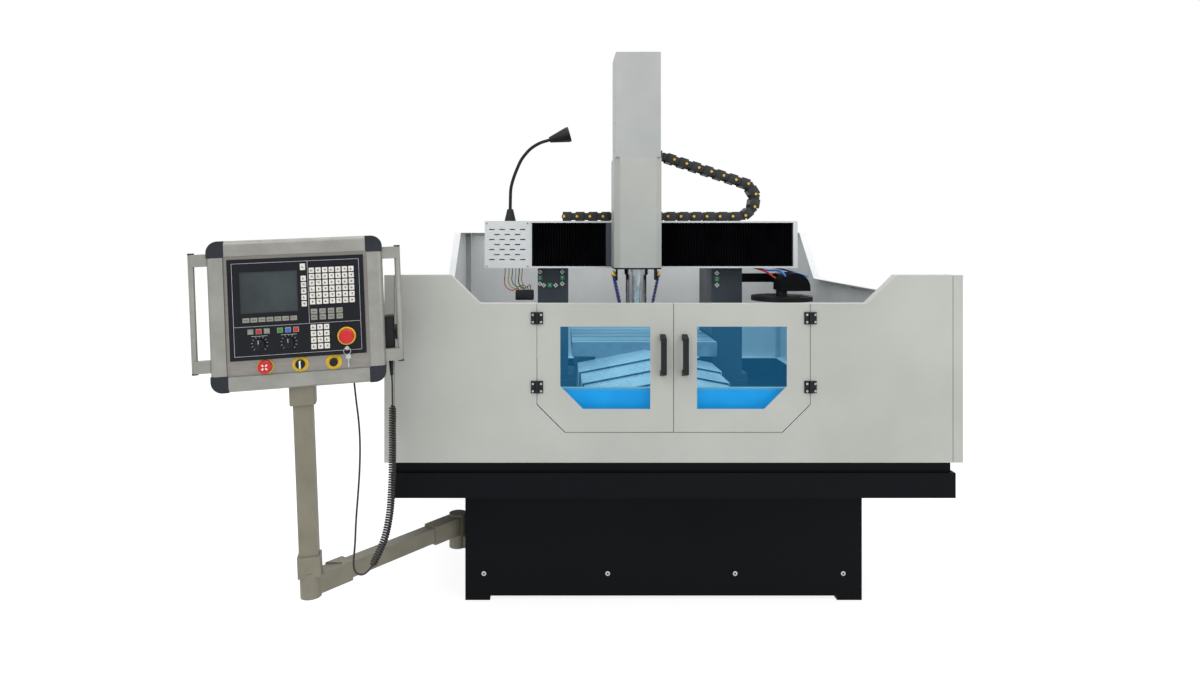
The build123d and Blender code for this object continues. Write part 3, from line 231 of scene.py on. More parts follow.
# printing inks, chain nylon, hose links and sign plates, made in the same way
printWhite = dyedPlastic("printWhite", "#C9CCD2", "#C1C4CA", "#D2D5DA", 0.5)
printBlack = dyedPlastic("printBlack", "#1A1A1C", "#151517", "#202023", 0.5)
chainPlastic = dyedPlastic("chainNylonBlack", "#121315", "#0F1012", "#191A1D", 0.48)
hoseBlue = dyedPlastic("hoseLinkBlue", "#1D2A6B", "#18245F", "#243278", 0.35)
signGreen = dyedPlastic("signGreen", "#1F8F4E", "#1B8547", "#259A56", 0.4)
signWhite = dyedPlastic("signWhite", "#E6E7E6", "#DFE0DF", "#EDEEED", 0.4)

# turned brass fitting: warm metal with lathe lines
brass = finish("turnedBrass", "#C29B4A", ("#B58E40", "#CBA655"), 8, (0.22, 0.36), None, 1.0, (1, 1, 6))

# extruded PVC lead: dark, waxy
leadPvc = finish("leadPvcBlack", "#1B1416", ("#171113", "#231A1C"), 12, (0.36, 0.5))

nodeFinishes = [
    (blackPaint, "base_frame chip_tray axis_motors carousel_mount nose_plate"),
    (castingPaint, "bed uprights saddle ram"),
    (wallPaint, "beam motor_box side_walls rear_wall"),
    (panelPaint, "front_panel lower_cover left_door right_door"),
    (coverPaint, "upper_cover"),
    (groundIron, "work_table"),
    (groundSteel, "guide_rails x_screw y_screw z_screw spindle_housing spindle_nose"),
    (coverSheet, "end_way_covers table_way_covers outer_way_covers inner_way_covers"),
    (bellowsCloth, "left_bellows right_bellows"),
    (blueGlazing, "left_window right_window"),
    (tubePaint, "arm_bracket swing_arm pole"),
    (brushedSheet, "pendant_case"),
    (anodised, "pendant_bars side_handles"),
    (cornerPlastic, "frame_corners"),
    (overlay, "control_panel"),
    (displayGlass, "lcd_screen"),
    (whiteKey, "panel_keys"),
    (redCap, "estop_button red_button"),
    (leadPvc, "wheel_lead wheel_coil"),
    (chainPlastic, "x_chain"),
    (hoseBlue, "coolant_hoses"),
    (blackPlastic, "work_lamp fixed_hinges left_fittings right_fittings tool_disc"),
    (blackPlastic, "wheel_box push_button selector_knob feed_knob speed_knob hand_wheel"),
]
for material, names in nodeFinishes:
    for name in names.split():
        mesh = nodes[name].data
        mesh.materials.clear()
        mesh.materials.append(material)
# the enclosure is grey outside and white inside, and only the top of the table is ground; the darker finish
# under the top also paints the shade in the table's slots
skin = 0.0015  # half the thickness of the wall sheet
wallLow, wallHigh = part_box("side_walls")
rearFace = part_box("rear_wall")[1].y
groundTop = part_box("work_table")[1].z
secondToneAndSlotShade = {
    "side_walls": (panelPaint, lambda place: abs(place.x) > wallHigh.x - skin or place.y < wallLow.y + skin),
    "rear_wall": (panelPaint, lambda place: place.y > rearFace - skin),
    # every face below the top gets the darker iron: the milled sides, and painted shade in the T-slots
    "work_table": (milledIronAndSlotShade, lambda place: place.z < groundTop - skin),
}
for name, (material, takesIt) in secondToneAndSlotShade.items():
    mesh = nodes[name].data
    mesh.materials.append(material)
    for face in mesh.polygons:
        face.material_index = 1 if takesIt(face.center) else 0
print("finish groups on CAD nodes:", len(nodeFinishes))


# modelling helpers, all through operators

def deselect():
    if bpy.context.object and bpy.context.object.mode != "OBJECT":
        bpy.ops.object.mode_set(mode="OBJECT")
    bpy.ops.object.select_all(action="DESELECT")


def activate(piece):
    deselect()
    piece.select_set(True)
    bpy.context.view_layer.objects.active = piece


def settle(name, material):
    piece = bpy.context.object
    piece.name = name
    bpy.ops.object.transform_apply(location=True, rotation=True, scale=True)
    piece.data.materials.clear()
    piece.data.materials.append(material)
    return piece


def roundEdges(piece, width, segments=2, smoothAngle=35):
    edge = piece.modifiers.new("edge", "BEVEL")
    edge.width = width
    edge.segments = segments
    edge.limit_method = "ANGLE"
    bpy.ops.object.modifier_apply(modifier=edge.name)
    bpy.ops.object.shade_smooth_by_angle(angle=radians(smoothAngle))


def slab(name, low, high, material, edge=0.0006, segments=2):
    deselect()
    middle = [(a + b) / 2 for a, b in zip(low, high)]
    bpy.ops.mesh.primitive_cube_add(size=1, location=middle)
    bpy.context.object.scale = [b - a for a, b in zip(low, high)]
    piece = settle(name, material)
    if edge:
        roundEdges(piece, edge, segments)
    return piece


def slabAt(name, place, corners, material, edge):
    low, high = [[a + b for a, b in zip(place, corner)] for corner in corners]
    return slab(name, low, high, material, edge)


def turned(name, middle, radius, length, axis, material, edge=0.0006, sides=24, topRadius=None):
    deselect()
    turn = {"X": (0, pi / 2, 0), "Y": (pi / 2, 0, 0), "Z": (0, 0, 0)}[axis]
    top = radius if topRadius is None else topRadius
    bpy.ops.mesh.primitive_cone_add(vertices=sides, radius1=radius, radius2=top, depth=length,
                                    location=middle, rotation=turn)
    piece = settle(name, material)
    if edge:
        roundEdges(piece, edge)
    return piece


def joined(name, pieces):
    deselect()
    for piece in pieces:
        piece.select_set(True)
    bpy.context.view_layer.objects.active = pieces[0]
    if len(pieces) > 1:
        bpy.ops.object.join()
    bpy.context.object.name = name
    return bpy.context.object


def newCurve(name, points, resolution, smooth):
    curve = bpy.data.curves.new(name, "CURVE")
    curve.dimensions = "3D"
    curve.resolution_u = resolution
    spline = curve.splines.new("NURBS" if smooth else "POLY")
    spline.points.add(len(points) - 1)
    for point, place in zip(spline.points, points):
        point.co = (*place, 1)
    if smooth:
        spline.order_u = 3
        spline.use_endpoint_u = True
    holder = bpy.data.objects.new(name, curve)
    bpy.context.scene.collection.objects.link(holder)
    return holder


def bentTube(name, points, radius, material, smooth=False, smoothAngle=60):
    tube = newCurve(name, points, 8, smooth)
    tube.data.bevel_depth = radius
    tube.data.bevel_resolution = 2
    tube.data.use_fill_caps = True
    activate(tube)
    bpy.ops.object.convert(target="MESH")
    tube = bpy.context.object
    tube.data.materials.clear()
    tube.data.materials.append(material)
    bpy.ops.object.shade_smooth_by_angle(angle=radians(smoothAngle))
    return tube


def mount(piece, body):
    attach(piece, body)
    return piece


def turnedAt(piece, place, angle):
    # a piece made at the origin, turned about Y and then moved to its place
    piece.data.transform(Matrix.Translation(place) @ Matrix.Rotation(angle, 4, "Y"))
    return piece


# the pendant's own directions: x across, y into the panel, z up from the arm's elbow
armSpec = {"elbow": (-1.147, -1.364, 0.275), "lean": 2.3, "yaw": 12}
pendantPlace = (Matrix.Translation(armSpec["elbow"]) @ Matrix.Rotation(radians(-armSpec["lean"]), 4, "Y")
                @ Matrix.Rotation(radians(armSpec["yaw"]), 4, "Z"))


def ontoPendant(name, parts, body="pendant"):
    piece = joined(name, parts)
    piece.data.transform(pendantPlace)
    mount(piece, body)


# bellows: accordion of coated cloth between beam end, carriage and end cap
bellowsSpec = {"pitch": 0.0125, "crest": -0.172, "root": -0.150, "edge": 0.0015, "levels": 5, "foldSteps": 4,
               "roundShare": 0.35, "stillShare": 0.17, "smoothAngle": 40}


def makeBellows(name, node, fixedSide):
    low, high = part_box(node)
    span = high.x - low.x
    folds = round(span / bellowsSpec["pitch"])
    middle = ((low.x + high.x) / 2, bellowsSpec["root"], (low.z + high.z) / 2)
    deselect()
    bpy.ops.mesh.primitive_grid_add(
        x_subdivisions=folds * bellowsSpec["foldSteps"], y_subdivisions=bellowsSpec["levels"], size=1,
        location=middle, rotation=(pi / 2, 0, 0))
    bpy.context.object.scale = (span, high.z - low.z, 1)
    piece = settle(name, bellowsCloth)
    depth = bellowsSpec["root"] - bellowsSpec["crest"]
    curved = bellowsSpec["roundShare"]
    for vertex in piece.data.vertices:
        along = (vertex.co.x - low.x) / span * folds
        swing = abs((along % 1) - 0.5) * 2
        swing = 0.5 - 0.5 * cos(pi * (1 - swing)) * curved + (0.5 - swing) * (1 - curved)
        vertex.co.y = bellowsSpec["root"] - depth * swing
    wall = piece.modifiers.new("wall", "SOLIDIFY")
    wall.thickness = bellowsSpec["edge"]
    wall.offset = 0
    bpy.ops.object.modifier_apply(modifier=wall.name)
    bpy.ops.object.shade_smooth_by_angle(angle=radians(bellowsSpec["smoothAngle"]))
    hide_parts(node)
    if fixedSide == "left":
        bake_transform(piece)
    else:
        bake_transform(piece)


makeBellows("leftBellows", "left_bellows", "left")
makeBellows("rightBellows", "right_bellows", "right")
print("bellows folded")


# cable chain: one link modelled, copied along the run, round the bend and up to the carriage
chainSpec = {"start": -0.367, "level": 1.4095, "pitch": 0.060, "height": 0.043, "width": 0.090,
             "front": -0.150, "lower": 14, "bend": 3, "upper": 7, "rise": 18, "stillRise": 0.03}
# one link: places along it, then plate, boss, dot and cross bar sizes
linkSpec = {"outer": (-0.030, 0.012), "inner": (0.004, 0.036), "bar": (-0.016, 0.006), "pin": -0.024,
            "plate": 0.006, "innerDeep": 0.007, "innerTrim": 0.005, "edge": 0.004, "boss": 0.011,
            "bossOut": 0.0004, "dot": 0.006, "dotOut": 0.0012, "dotSides": 16, "disc": 0.002,
            "discEdge": 0.0004, "barInset": 0.004, "barEdge": 0.0015}


def chainJoints():
    points = [(chainSpec["start"], chainSpec["level"])]
    turn = (180 - chainSpec["rise"]) / (chainSpec["bend"] + 1)
    headings = [0] * chainSpec["lower"] + [turn * (i + 1) for i in range(chainSpec["bend"])]
    headings += [180 - chainSpec["rise"]] * chainSpec["upper"]
    for heading in headings:
        x, z = points[-1]
        points.append((x + chainSpec["pitch"] * cos(radians(heading)),
                       z + chainSpec["pitch"] * sin(radians(heading))))
    return points, headings


def linkPlate(span, y, half, edge):
    thick = linkSpec["plate"] / 2
    return slab("plate", (span[0], y - thick, -half), (span[1], y + thick, half), chainPlastic, edge)


def chainLink():
    half = chainSpec["height"] / 2
    wide = chainSpec["width"] / 2
    thick = linkSpec["plate"] / 2
    parts = []
    for side in (-1, 1):
        # two overlapping side plates per link, with a boss and a coloured dot at the joint
        outer = linkPlate(linkSpec["outer"], side * (wide - thick), half, linkSpec["edge"])
        inner = linkPlate(linkSpec["inner"], side * (wide - linkSpec["innerDeep"]),
                          half - linkSpec["innerTrim"], linkSpec["edge"])
        boss = turned("boss", (linkSpec["pin"], side * (wide + linkSpec["bossOut"]), 0), linkSpec["boss"],
                      linkSpec["disc"], "Y", chainPlastic, linkSpec["discEdge"])
        dot = turned("dot", (linkSpec["pin"], side * (wide + linkSpec["dotOut"]), 0), linkSpec["dot"],
                     linkSpec["disc"], "Y", yellowCap, linkSpec["discEdge"], linkSpec["dotSides"])
        parts += [outer, inner, boss, dot]
    reach = wide - linkSpec["barInset"]
    for level in (-1, 1):
        z = level * (half - linkSpec["barInset"])
        parts.append(slab("bar", (linkSpec["bar"][0], -reach, z - thick),
                          (linkSpec["bar"][1], reach, z + thick), chainPlastic, linkSpec["barEdge"]))
    return joined("chainLink", parts)


def makeChain():
    points, headings = chainJoints()
    link = chainLink()
    y = chainSpec["front"] + chainSpec["width"] / 2
    copies = []
    for (x, z), heading, (endX, endZ) in zip(points, headings, points[1:]):
        copy = link.copy()
        copy.data = link.data.copy()
        bpy.context.scene.collection.objects.link(copy)
        copies.append(turnedAt(copy, ((x + endX) / 2, y, (z + endZ) / 2), -radians(heading)))
    bpy.data.objects.remove(link)
    chain = joined("cableChainX", copies)
    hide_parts("x_chain")
    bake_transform(chain)


makeChain()
print("cable chain linked")


# control panel prints, keys and small parts on the pendant
panelSpec = {"faceY": -0.0545, "left": -0.1975, "top": 0.985, "width": 0.395, "height": 0.303,
             "plateY": -0.0445, "stripZ": 0.660, "screen": (0.038, 0.042, 0.159, 0.118), "knobTop": 0.256,
             "estop": (0.338, 0.247), "knobs": {"feed_knob": 0.085, "speed_knob": 0.169},
             "strip": {"red_button": -0.100, "selector_knob": 0.001, "push_button": 0.099}}
panelLeft = panelSpec["left"]
panelTop = panelSpec["top"]


def panelSlab(name, x, z, width, height, front, back, material, edge=0.0, segments=2, level="faceY"):
    # a slab on the panel's face or the strip's plate, from front to back as heights above it
    y = panelSpec[level]
    return slab(name, (x - width / 2, y - front, z - height / 2), (x + width / 2, y - back, z + height / 2),
                material, edge, segments)


keyGroups = [  # left, top, columns, rows, pitch across, pitch down, width, height, kind
    (49, 183, 7, 1, 22.7, 24, 19.8, 14, "soft"), (216.5, 30, 1, 1, 19, 20, 15, 20, "plain"),
    (217.5, 65, 1, 5, 18.2, 19.3, 15, 16, "arrow"), (242, 42, 7, 6, 19.4, 19.1, 15.6, 16, "letter"),
    (245, 167, 4, 2, 24.9, 18, 18.9, 16, "soft"), (60.5, 218, 3, 1, 23.2, 24.6, 17, 16, "row1"),
    (144.5, 218, 3, 1, 23.2, 24.6, 17, 16, "row2"), (241, 215, 3, 4, 19.4, 19.5, 15.6, 16, "arrow"),
]
buttonRows = {"row1": [greyKey, redCap, greyKey], "row2": [greenCap, blueCap, redCap]}
greyKinds = ("soft", "row1", "row2")
keySpec = {"proud": 0.0016, "edge": 0.0007, "cap": (0.0124, 0.0116), "capFront": 0.0030, "capEdge": 0.0006,
           "inkFront": 0.0019, "inkBack": 0.0012, "softShare": 0.62, "softInk": 0.0014, "ink": 0.0016,
           "barLong": 0.0072, "postLong": 0.0068, "shift": 0.0015}


def keyMark(x, z, width, height):
    return panelSlab("mark", x, z, width, height, keySpec["inkFront"], keySpec["inkBack"], printBlack)


def keyParts(x, z, width, height, kind, row, column):
    colour = greyKey if kind in greyKinds else whiteKey
    parts = [panelSlab("key", x, z, width, height, keySpec["proud"], 0, colour, keySpec["edge"], 1)]
    if kind in buttonRows:
        parts.append(panelSlab("cap", x, z, *keySpec["cap"], keySpec["capFront"], keySpec["inkBack"],
                               buttonRows[kind][column], keySpec["capEdge"], 1))
    elif kind == "soft":
        parts.append(keyMark(x, z, width * keySpec["softShare"], keySpec["softInk"]))
    else:
        # each legend is a plain bar and post, shifted a little from key to key
        shift = ((column * 7 + row * 5) % 3 - 1) * keySpec["shift"]
        parts.append(keyMark(x, z + shift, keySpec["barLong"], keySpec["ink"]))
        parts.append(keyMark(x + shift, z, keySpec["ink"], keySpec["postLong"]))
    return parts


def makeKeys():
    parts = []
    for left, top, columns, rows, across, down, width, height, kind in keyGroups:
        for row in range(rows):
            for column in range(columns):
                x = panelLeft + (left + column * across) / 1000
                z = panelTop - (top + row * down) / 1000
                parts += keyParts(x, z, width / 1000, height / 1000, kind, row, column)
    keys = joined("panelKeys", parts)
    keys.data.transform(pendantPlace)
    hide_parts("panel_keys")
    mount(keys, "pendant")


makeKeys()

# printed lines: frame, dividers, knob scales and a title bar beside each knob
printSpec = {"line": 0.0009, "margin": (0.013, 0.012), "split": 0.203, "post": 0.230, "front": 0.0004,
             "sunk": 0.0002, "ticks": 11, "firstTick": -135, "tickStep": 27, "tick": (0.001, 0.005),
             "tickAt": 0.022, "titles": (0.0625, 0.1465), "title": (0.046, 0.001), "titleDown": 0.2325}


def printBar(left, low, width, height):
    return panelSlab("line", left + width / 2, low + height / 2, width, height, printSpec["front"],
                     -printSpec["sunk"], printWhite)


def makePrints():
    line = printSpec["line"]
    left = panelLeft + printSpec["margin"][0]
    low = panelTop - panelSpec["height"] + printSpec["margin"][1]
    width = panelSpec["width"] - 2 * printSpec["margin"][0]
    height = panelSpec["height"] - 2 * printSpec["margin"][1]
    split = panelTop - printSpec["split"]
    parts = [printBar(left, low + height - line, width, line), printBar(left, low, width, line),
             printBar(left, low, line, height), printBar(left + width - line, low, line, height),
             printBar(left, split, width, line),
             printBar(panelLeft + printSpec["post"], split, line, low + height - split)]
    for knobLeft in panelSpec["knobs"].values():
        place = (panelLeft + knobLeft, 0, panelTop - panelSpec["knobTop"])
        for step in range(printSpec["ticks"]):
            tick = panelSlab("tick", 0, printSpec["tickAt"], *printSpec["tick"], printSpec["front"],
                             -printSpec["sunk"], printWhite)
            angle = radians(printSpec["firstTick"] + printSpec["tickStep"] * step)
            parts.append(turnedAt(tick, place, angle))
    for title in printSpec["titles"]:
        parts.append(printBar(panelLeft + title, panelTop - printSpec["titleDown"], *printSpec["title"]))
    ontoPendant("panelPrints", parts)


makePrints()

# rings round the buttons: outer and inner radius, height; a pressed cap passes inside its ring
collarSpec = {"estop": (0.0275, 0.0226, 0.005), "red_button": (0.0240, 0.0206, 0.0022),
              "selector_knob": (0.0240, 0.0095, 0.0022), "push_button": (0.0240, 0.0126, 0.0022),
              "edge": 0.0008, "sides": 40, "drill": 0.02}


def collar(x, y, z, radius, bore, thick):
    ring = turned("ring", (x, y - thick / 2, z), radius, thick, "Y", yellowCap, collarSpec["edge"],
                  collarSpec["sides"])
    bpy.ops.mesh.primitive_cylinder_add(vertices=collarSpec["sides"], radius=bore, depth=collarSpec["drill"],
                                        location=(x, y, z), rotation=(pi / 2, 0, 0))
    drill = bpy.context.object
    cut = ring.modifiers.new("bore", "BOOLEAN")
    cut.object = drill
    activate(ring)
    bpy.ops.object.modifier_apply(modifier=cut.name)
    bpy.data.objects.remove(drill)
    return ring


def makeCollars():
    across, down = panelSpec["estop"]
    parts = [collar(panelLeft + across, panelSpec["faceY"], panelTop - down, *collarSpec["estop"])]
    for name, x in panelSpec["strip"].items():
        parts.append(collar(x, panelSpec["plateY"], panelSpec["stripZ"], *collarSpec[name]))
    ontoPendant("buttonCollars", parts)


makeCollars()

# pointers of the turning knobs and marks on the red mushroom head
pointerSpec = {"selector": (0.005, 0.024), "selectorFront": 0.0224, "selectorBack": 0.0160,
               "selectorEdge": 0.0008, "grip": (0.009, 0.029), "gripFront": 0.0244, "gripBack": 0.0194,
               "gripEdge": 0.0012, "line": (0.0016, 0.0115), "lineUp": 0.00775, "lineFront": 0.0248,
               "lineBack": 0.0234, "mark": ((0.004, -0.0004, -0.0022), (0.011, 0.0008, 0.0022)),
               "markOut": 0.0228}


def makePointers():
    pointer = panelSlab("selectorPointer", panelSpec["strip"]["selector_knob"], panelSpec["stripZ"],
                        *pointerSpec["selector"], pointerSpec["selectorFront"], pointerSpec["selectorBack"],
                        signWhite, pointerSpec["selectorEdge"], level="plateY")
    ontoPendant("selectorPointer", [pointer], "selector_knob")
    for body, knobLeft in panelSpec["knobs"].items():
        x = panelLeft + knobLeft
        z = panelTop - panelSpec["knobTop"]
        grip = panelSlab("grip", x, z, *pointerSpec["grip"], pointerSpec["gripFront"],
                         pointerSpec["gripBack"], blackPlastic, pointerSpec["gripEdge"])
        line = panelSlab("line", x, z + pointerSpec["lineUp"], *pointerSpec["line"], pointerSpec["lineFront"],
                         pointerSpec["lineBack"], printWhite)
        ontoPendant(body + "Grip", [grip, line], body)
    # four plain bars, a quarter turn apart
    place = (panelSpec["strip"]["red_button"], panelSpec["plateY"] - pointerSpec["markOut"],
             panelSpec["stripZ"])
    parts = []
    for step in range(4):
        mark = slab("mark", *pointerSpec["mark"], signWhite, 0)
        parts.append(turnedAt(mark, place, (step + 0.5) * pi / 2))
    ontoPendant("mushroomMarks", parts, "red_button")


makePointers()

# raised black rim round the display
bezelSpec = {"rim": 0.003, "proud": 0.0022, "edge": 0.0006}


def makeScreenBezel():
    across, down, width, height = panelSpec["screen"]
    rim = bezelSpec["rim"]
    x = panelLeft + across + width / 2
    z = panelTop - down - height / 2
    sides = [(0, (height + rim) / 2, width + 2 * rim, rim), (0, -(height + rim) / 2, width + 2 * rim, rim),
             (-(width + rim) / 2, 0, rim, height), ((width + rim) / 2, 0, rim, height)]
    parts = [panelSlab("rim", x + aside, z + up, wide, high, bezelSpec["proud"], 0, printBlack,
                       bezelSpec["edge"]) for aside, up, wide, high in sides]
    ontoPendant("screenBezel", parts)


makeScreenBezel()

# plastic caps on the ends of the side handles: height and direction of each end
handleSpec = {"x": 0.301, "y": -0.030, "ends": ((1.005, 1), (0.650, -1)), "lift": 0.0015, "radius": 0.0096,
              "long": 0.005, "edge": 0.001, "sides": 28}


def makeHandleCaps():
    parts = []
    for side in (-1, 1):
        for z, way in handleSpec["ends"]:
            place = (side * handleSpec["x"], handleSpec["y"], z + way * handleSpec["lift"])
            parts.append(turned("cap", place, handleSpec["radius"], handleSpec["long"], "Z", blackPlastic,
                                handleSpec["edge"], handleSpec["sides"]))
    ontoPendant("handleCaps", parts)


makeHandleCaps()
print("pendant dressed")


# hand wheel lead: one wire out of the relief, wound into a curly coil, then back up into the case
leadSpec = {"wire": 0.006, "coilRadius": 0.0095, "coilPitch": 0.0076, "turnSteps": 14, "ramp": 0.014,
            "step": 0.004, "fine": 8, "coilFine": 24,
            "topRoute": [(270, 17.5, 595), (270.5, 17, 566), (269.5, 15, 536), (268.5, 14, 504)],
            "coilRoute": [(268.5, 14, 504), (264.5, 4, 413), (261.5, -8, 323), (255.5, -20, 235),
                          (244.5, -32, 151), (222.5, -44, 79), (185.5, -54, 21)],
            "riseRoute": [(185.5, -54, 21), (168.5, -57, 4), (148.5, -58, 4), (134.5, -58, 19),
                          (133.5, -58, 47), (140.5, -56, 98), (145.5, -51, 168), (154.5, -45, 245),
                          (162.5, -38, 323), (166.5, -30, 401), (164.5, -22, 471), (158.5, -15, 530),
                          (154.5, -10, 589)]}


def runLength(points):
    return sum((b - a).length for a, b in zip(points, points[1:]))


def splinePoints(name, route, resolution):
    places = [pendantPlace @ Vector((x / 1000, y / 1000, z / 1000)) for x, y, z in route]
    holder = newCurve(name, places, resolution, True)
    bpy.context.view_layer.update()
    mesh = bpy.data.meshes.new_from_object(holder.evaluated_get(bpy.context.evaluated_depsgraph_get()))
    points = [vertex.co.copy() for vertex in mesh.vertices]
    bpy.data.objects.remove(holder)
    bpy.data.meshes.remove(mesh)
    return points


def evenPoints(points, step):
    out = [points[0]]
    left = step
    for a, b in zip(points, points[1:]):
        run = (b - a).length
        while run >= left and run > 1e-9:
            a = a.lerp(b, left / run)
            out.append(a)
            run = (b - a).length
            left = step
        left -= run
    return out


def coilPoints(line):
    total = runLength(line)
    steps = leadSpec["turnSteps"]
    count = int(total / leadSpec["coilPitch"] * steps)
    fine = evenPoints(line, total / count)
    normal = Vector((0, 1, 0))
    points = []
    for index, point in enumerate(fine):
        ahead = (fine[min(index + 1, len(fine) - 1)] - fine[max(index - 1, 0)]).normalized()
        normal = (normal - ahead * normal.dot(ahead)).normalized()
        side = ahead.cross(normal)
        along = total * index / count
        # the coil opens and closes smoothly at its ends
        ramp = max(0, min(1, along / leadSpec["ramp"], (total - along) / leadSpec["ramp"]))
        radius = leadSpec["coilRadius"] * (3 * ramp ** 2 - 2 * ramp ** 3)
        angle = 2 * pi * index / steps
        points.append(point + (normal * cos(angle) + side * sin(angle)) * radius)
    return points


def makeLead():
    topLine = splinePoints("leadTop", leadSpec["topRoute"], leadSpec["fine"])
    coilLine = splinePoints("leadCoil", leadSpec["coilRoute"], leadSpec["coilFine"])
    riseLine = splinePoints("leadRise", leadSpec["riseRoute"], leadSpec["fine"])
    path = topLine[:-1] + coilPoints(coilLine)[:-1] + riseLine
    total = runLength(path)
    # a hair under the even step, so that rounding keeps the last point
    clean = evenPoints(path, total / round(total / leadSpec["step"]) * 0.99999)
    lead = bentTube("wheelLead", clean, leadSpec["wire"] / 2, leadPvc)
    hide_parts("wheel_lead", "wheel_coil")
    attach(lead, "pendant")


makeLead()


# coolant valves: a brass body with a lever in the side tab and a string of ball ended links below it;
# each Round holds the edge's rounding and the number of sides
hoseSpec = {"level": 1.151, "valve": 0.020, "valveRadius": 0.008, "links": 9, "pitch": 0.015, "big": 0.008,
            "small": 0.0055, "lean": 12, "cupShare": 0.8, "neckAtShare": 0.75, "neckShare": 0.5,
            "neckThinShare": 0.8, "nutBack": 0.006, "nut": 0.008, "nutShare": 1.12, "stemUp": 0.009,
            "stem": (0.003, 0.010), "lever": ((-0.003, -0.013, 0.0125), (0.003, 0.005, 0.0155)),
            "cupRound": (0.0012, 20), "neckRound": (0.0006, 16), "nutRound": (0.0006, 6),
            "bodyRound": (0.0008, 24), "stemRound": (0.0004, 16), "leverEdge": 0.001,
            "starts": [(-0.130, -0.326, -1), (-0.130, -0.274, -1), (0.046, -0.300, 1)]}


def hoseString():
    pitch = hoseSpec["pitch"]
    small = hoseSpec["small"]
    cup = pitch * hoseSpec["cupShare"]
    parts = []
    for index in range(hoseSpec["links"]):
        low = -(index + 1) * pitch
        parts.append(turned("cup", (0, 0, low + cup / 2), hoseSpec["big"], cup, "Z", hoseBlue,
                            *hoseSpec["cupRound"], small))
        parts.append(turned("neck", (0, 0, low + pitch * hoseSpec["neckAtShare"]),
                            small * hoseSpec["neckThinShare"], pitch * hoseSpec["neckShare"], "Z", hoseBlue,
                            *hoseSpec["neckRound"]))
    return parts


def coolantValve(x, y, z, side):
    radius = hoseSpec["valveRadius"]
    nutPlace = (x - side * hoseSpec["nutBack"], y, z)
    stemPlace = (x, y, z + hoseSpec["stemUp"])
    return [
        turned("nut", nutPlace, radius * hoseSpec["nutShare"], hoseSpec["nut"], "X", brass,
               *hoseSpec["nutRound"]),
        turned("body", (x, y, z), radius, hoseSpec["valve"], "X", brass, *hoseSpec["bodyRound"]),
        turned("stem", stemPlace, *hoseSpec["stem"], "Z", brass, *hoseSpec["stemRound"]),
        slabAt("lever", (x, y, z), hoseSpec["lever"], brass, hoseSpec["leverEdge"])]


def makeHoses():
    parts = []
    z = hoseSpec["level"]
    for startX, y, side in hoseSpec["starts"]:
        parts += coolantValve(startX + side * hoseSpec["valve"] / 2, y, z, side)
        place = (startX + side * (hoseSpec["valve"] - hoseSpec["big"]), y, z)
        parts += [turnedAt(piece, place, radians(side * hoseSpec["lean"])) for piece in hoseString()]
    hoses = joined("coolantHoses", parts)
    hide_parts("coolant_hoses")
    mount(hoses, "carriage")


makeHoses()


# protective film still on the inner apron, in the blue with the painted glow
filmSpec = {"half": 0.486, "front": -1.1612, "low": 0.617, "high": 0.806, "thick": 0.001}
film = slab("apronFilm", (-filmSpec["half"], filmSpec["front"], filmSpec["low"]),
            (filmSpec["half"], filmSpec["front"] + filmSpec["thick"], filmSpec["high"]), blueFilmPaintedGlow, 0)
mount(film, "machine")


# screws: shares of the head's radius and height, and the socket's depth
screwSpec = {"highShare": 0.55, "edgeShare": 0.4, "socketShare": 0.45, "socket": 0.0006, "sunk": 0.0002,
             "socketSides": 6}


def screwHead(place, axis, side, radius, sides=24, high=None):
    # pan head with a socket, or a flush one of a stated height, standing out of the face along the axis; the
    # socket is a flat black disc on the head, painted shade in place of the hollow
    out = Vector([side if letter == axis else 0 for letter in "XYZ"])
    high = high or radius * screwSpec["highShare"]
    head = turned("head", Vector(place) + out * high / 2, radius, high, axis, groundSteel,
                  high * screwSpec["edgeShare"], sides)
    # painted shade: a black disc instead of a cut socket
    socket = turned("socket", Vector(place) + out * (high - screwSpec["sunk"]),
                    radius * screwSpec["socketShare"], screwSpec["socket"], axis, printBlack, 0,
                    screwSpec["socketSides"])
    return [head, socket]


# screws of the door hinges, on their fixed and their moving leaves
hingeSpec = {"fixed": 0.4645, "moving": 0.4375, "front": -1.211, "levels": (0.825, 1.052), "rise": 0.012,
             "radius": 0.0036, "sides": 16, "proud": 0.0004}


def hingeScrew(x, z):
    return screwHead((x, hingeSpec["front"], z), "Y", -1, hingeSpec["radius"], hingeSpec["sides"],
                     hingeSpec["proud"])


def makeHingeScrews():
    for side, body in ((-1, "left_door"), (1, "right_door")):
        still = []
        turning = []
        for level in hingeSpec["levels"]:
            for rise in (-1, 1):
                z = level + rise * hingeSpec["rise"]
                still += hingeScrew(side * hingeSpec["fixed"], z)
                turning += hingeScrew(side * hingeSpec["moving"], z)
        mount(joined(body + "FixedScrews", still), "machine")
        mount(joined(body + "HingeScrews", turning), body)


makeHingeScrews()

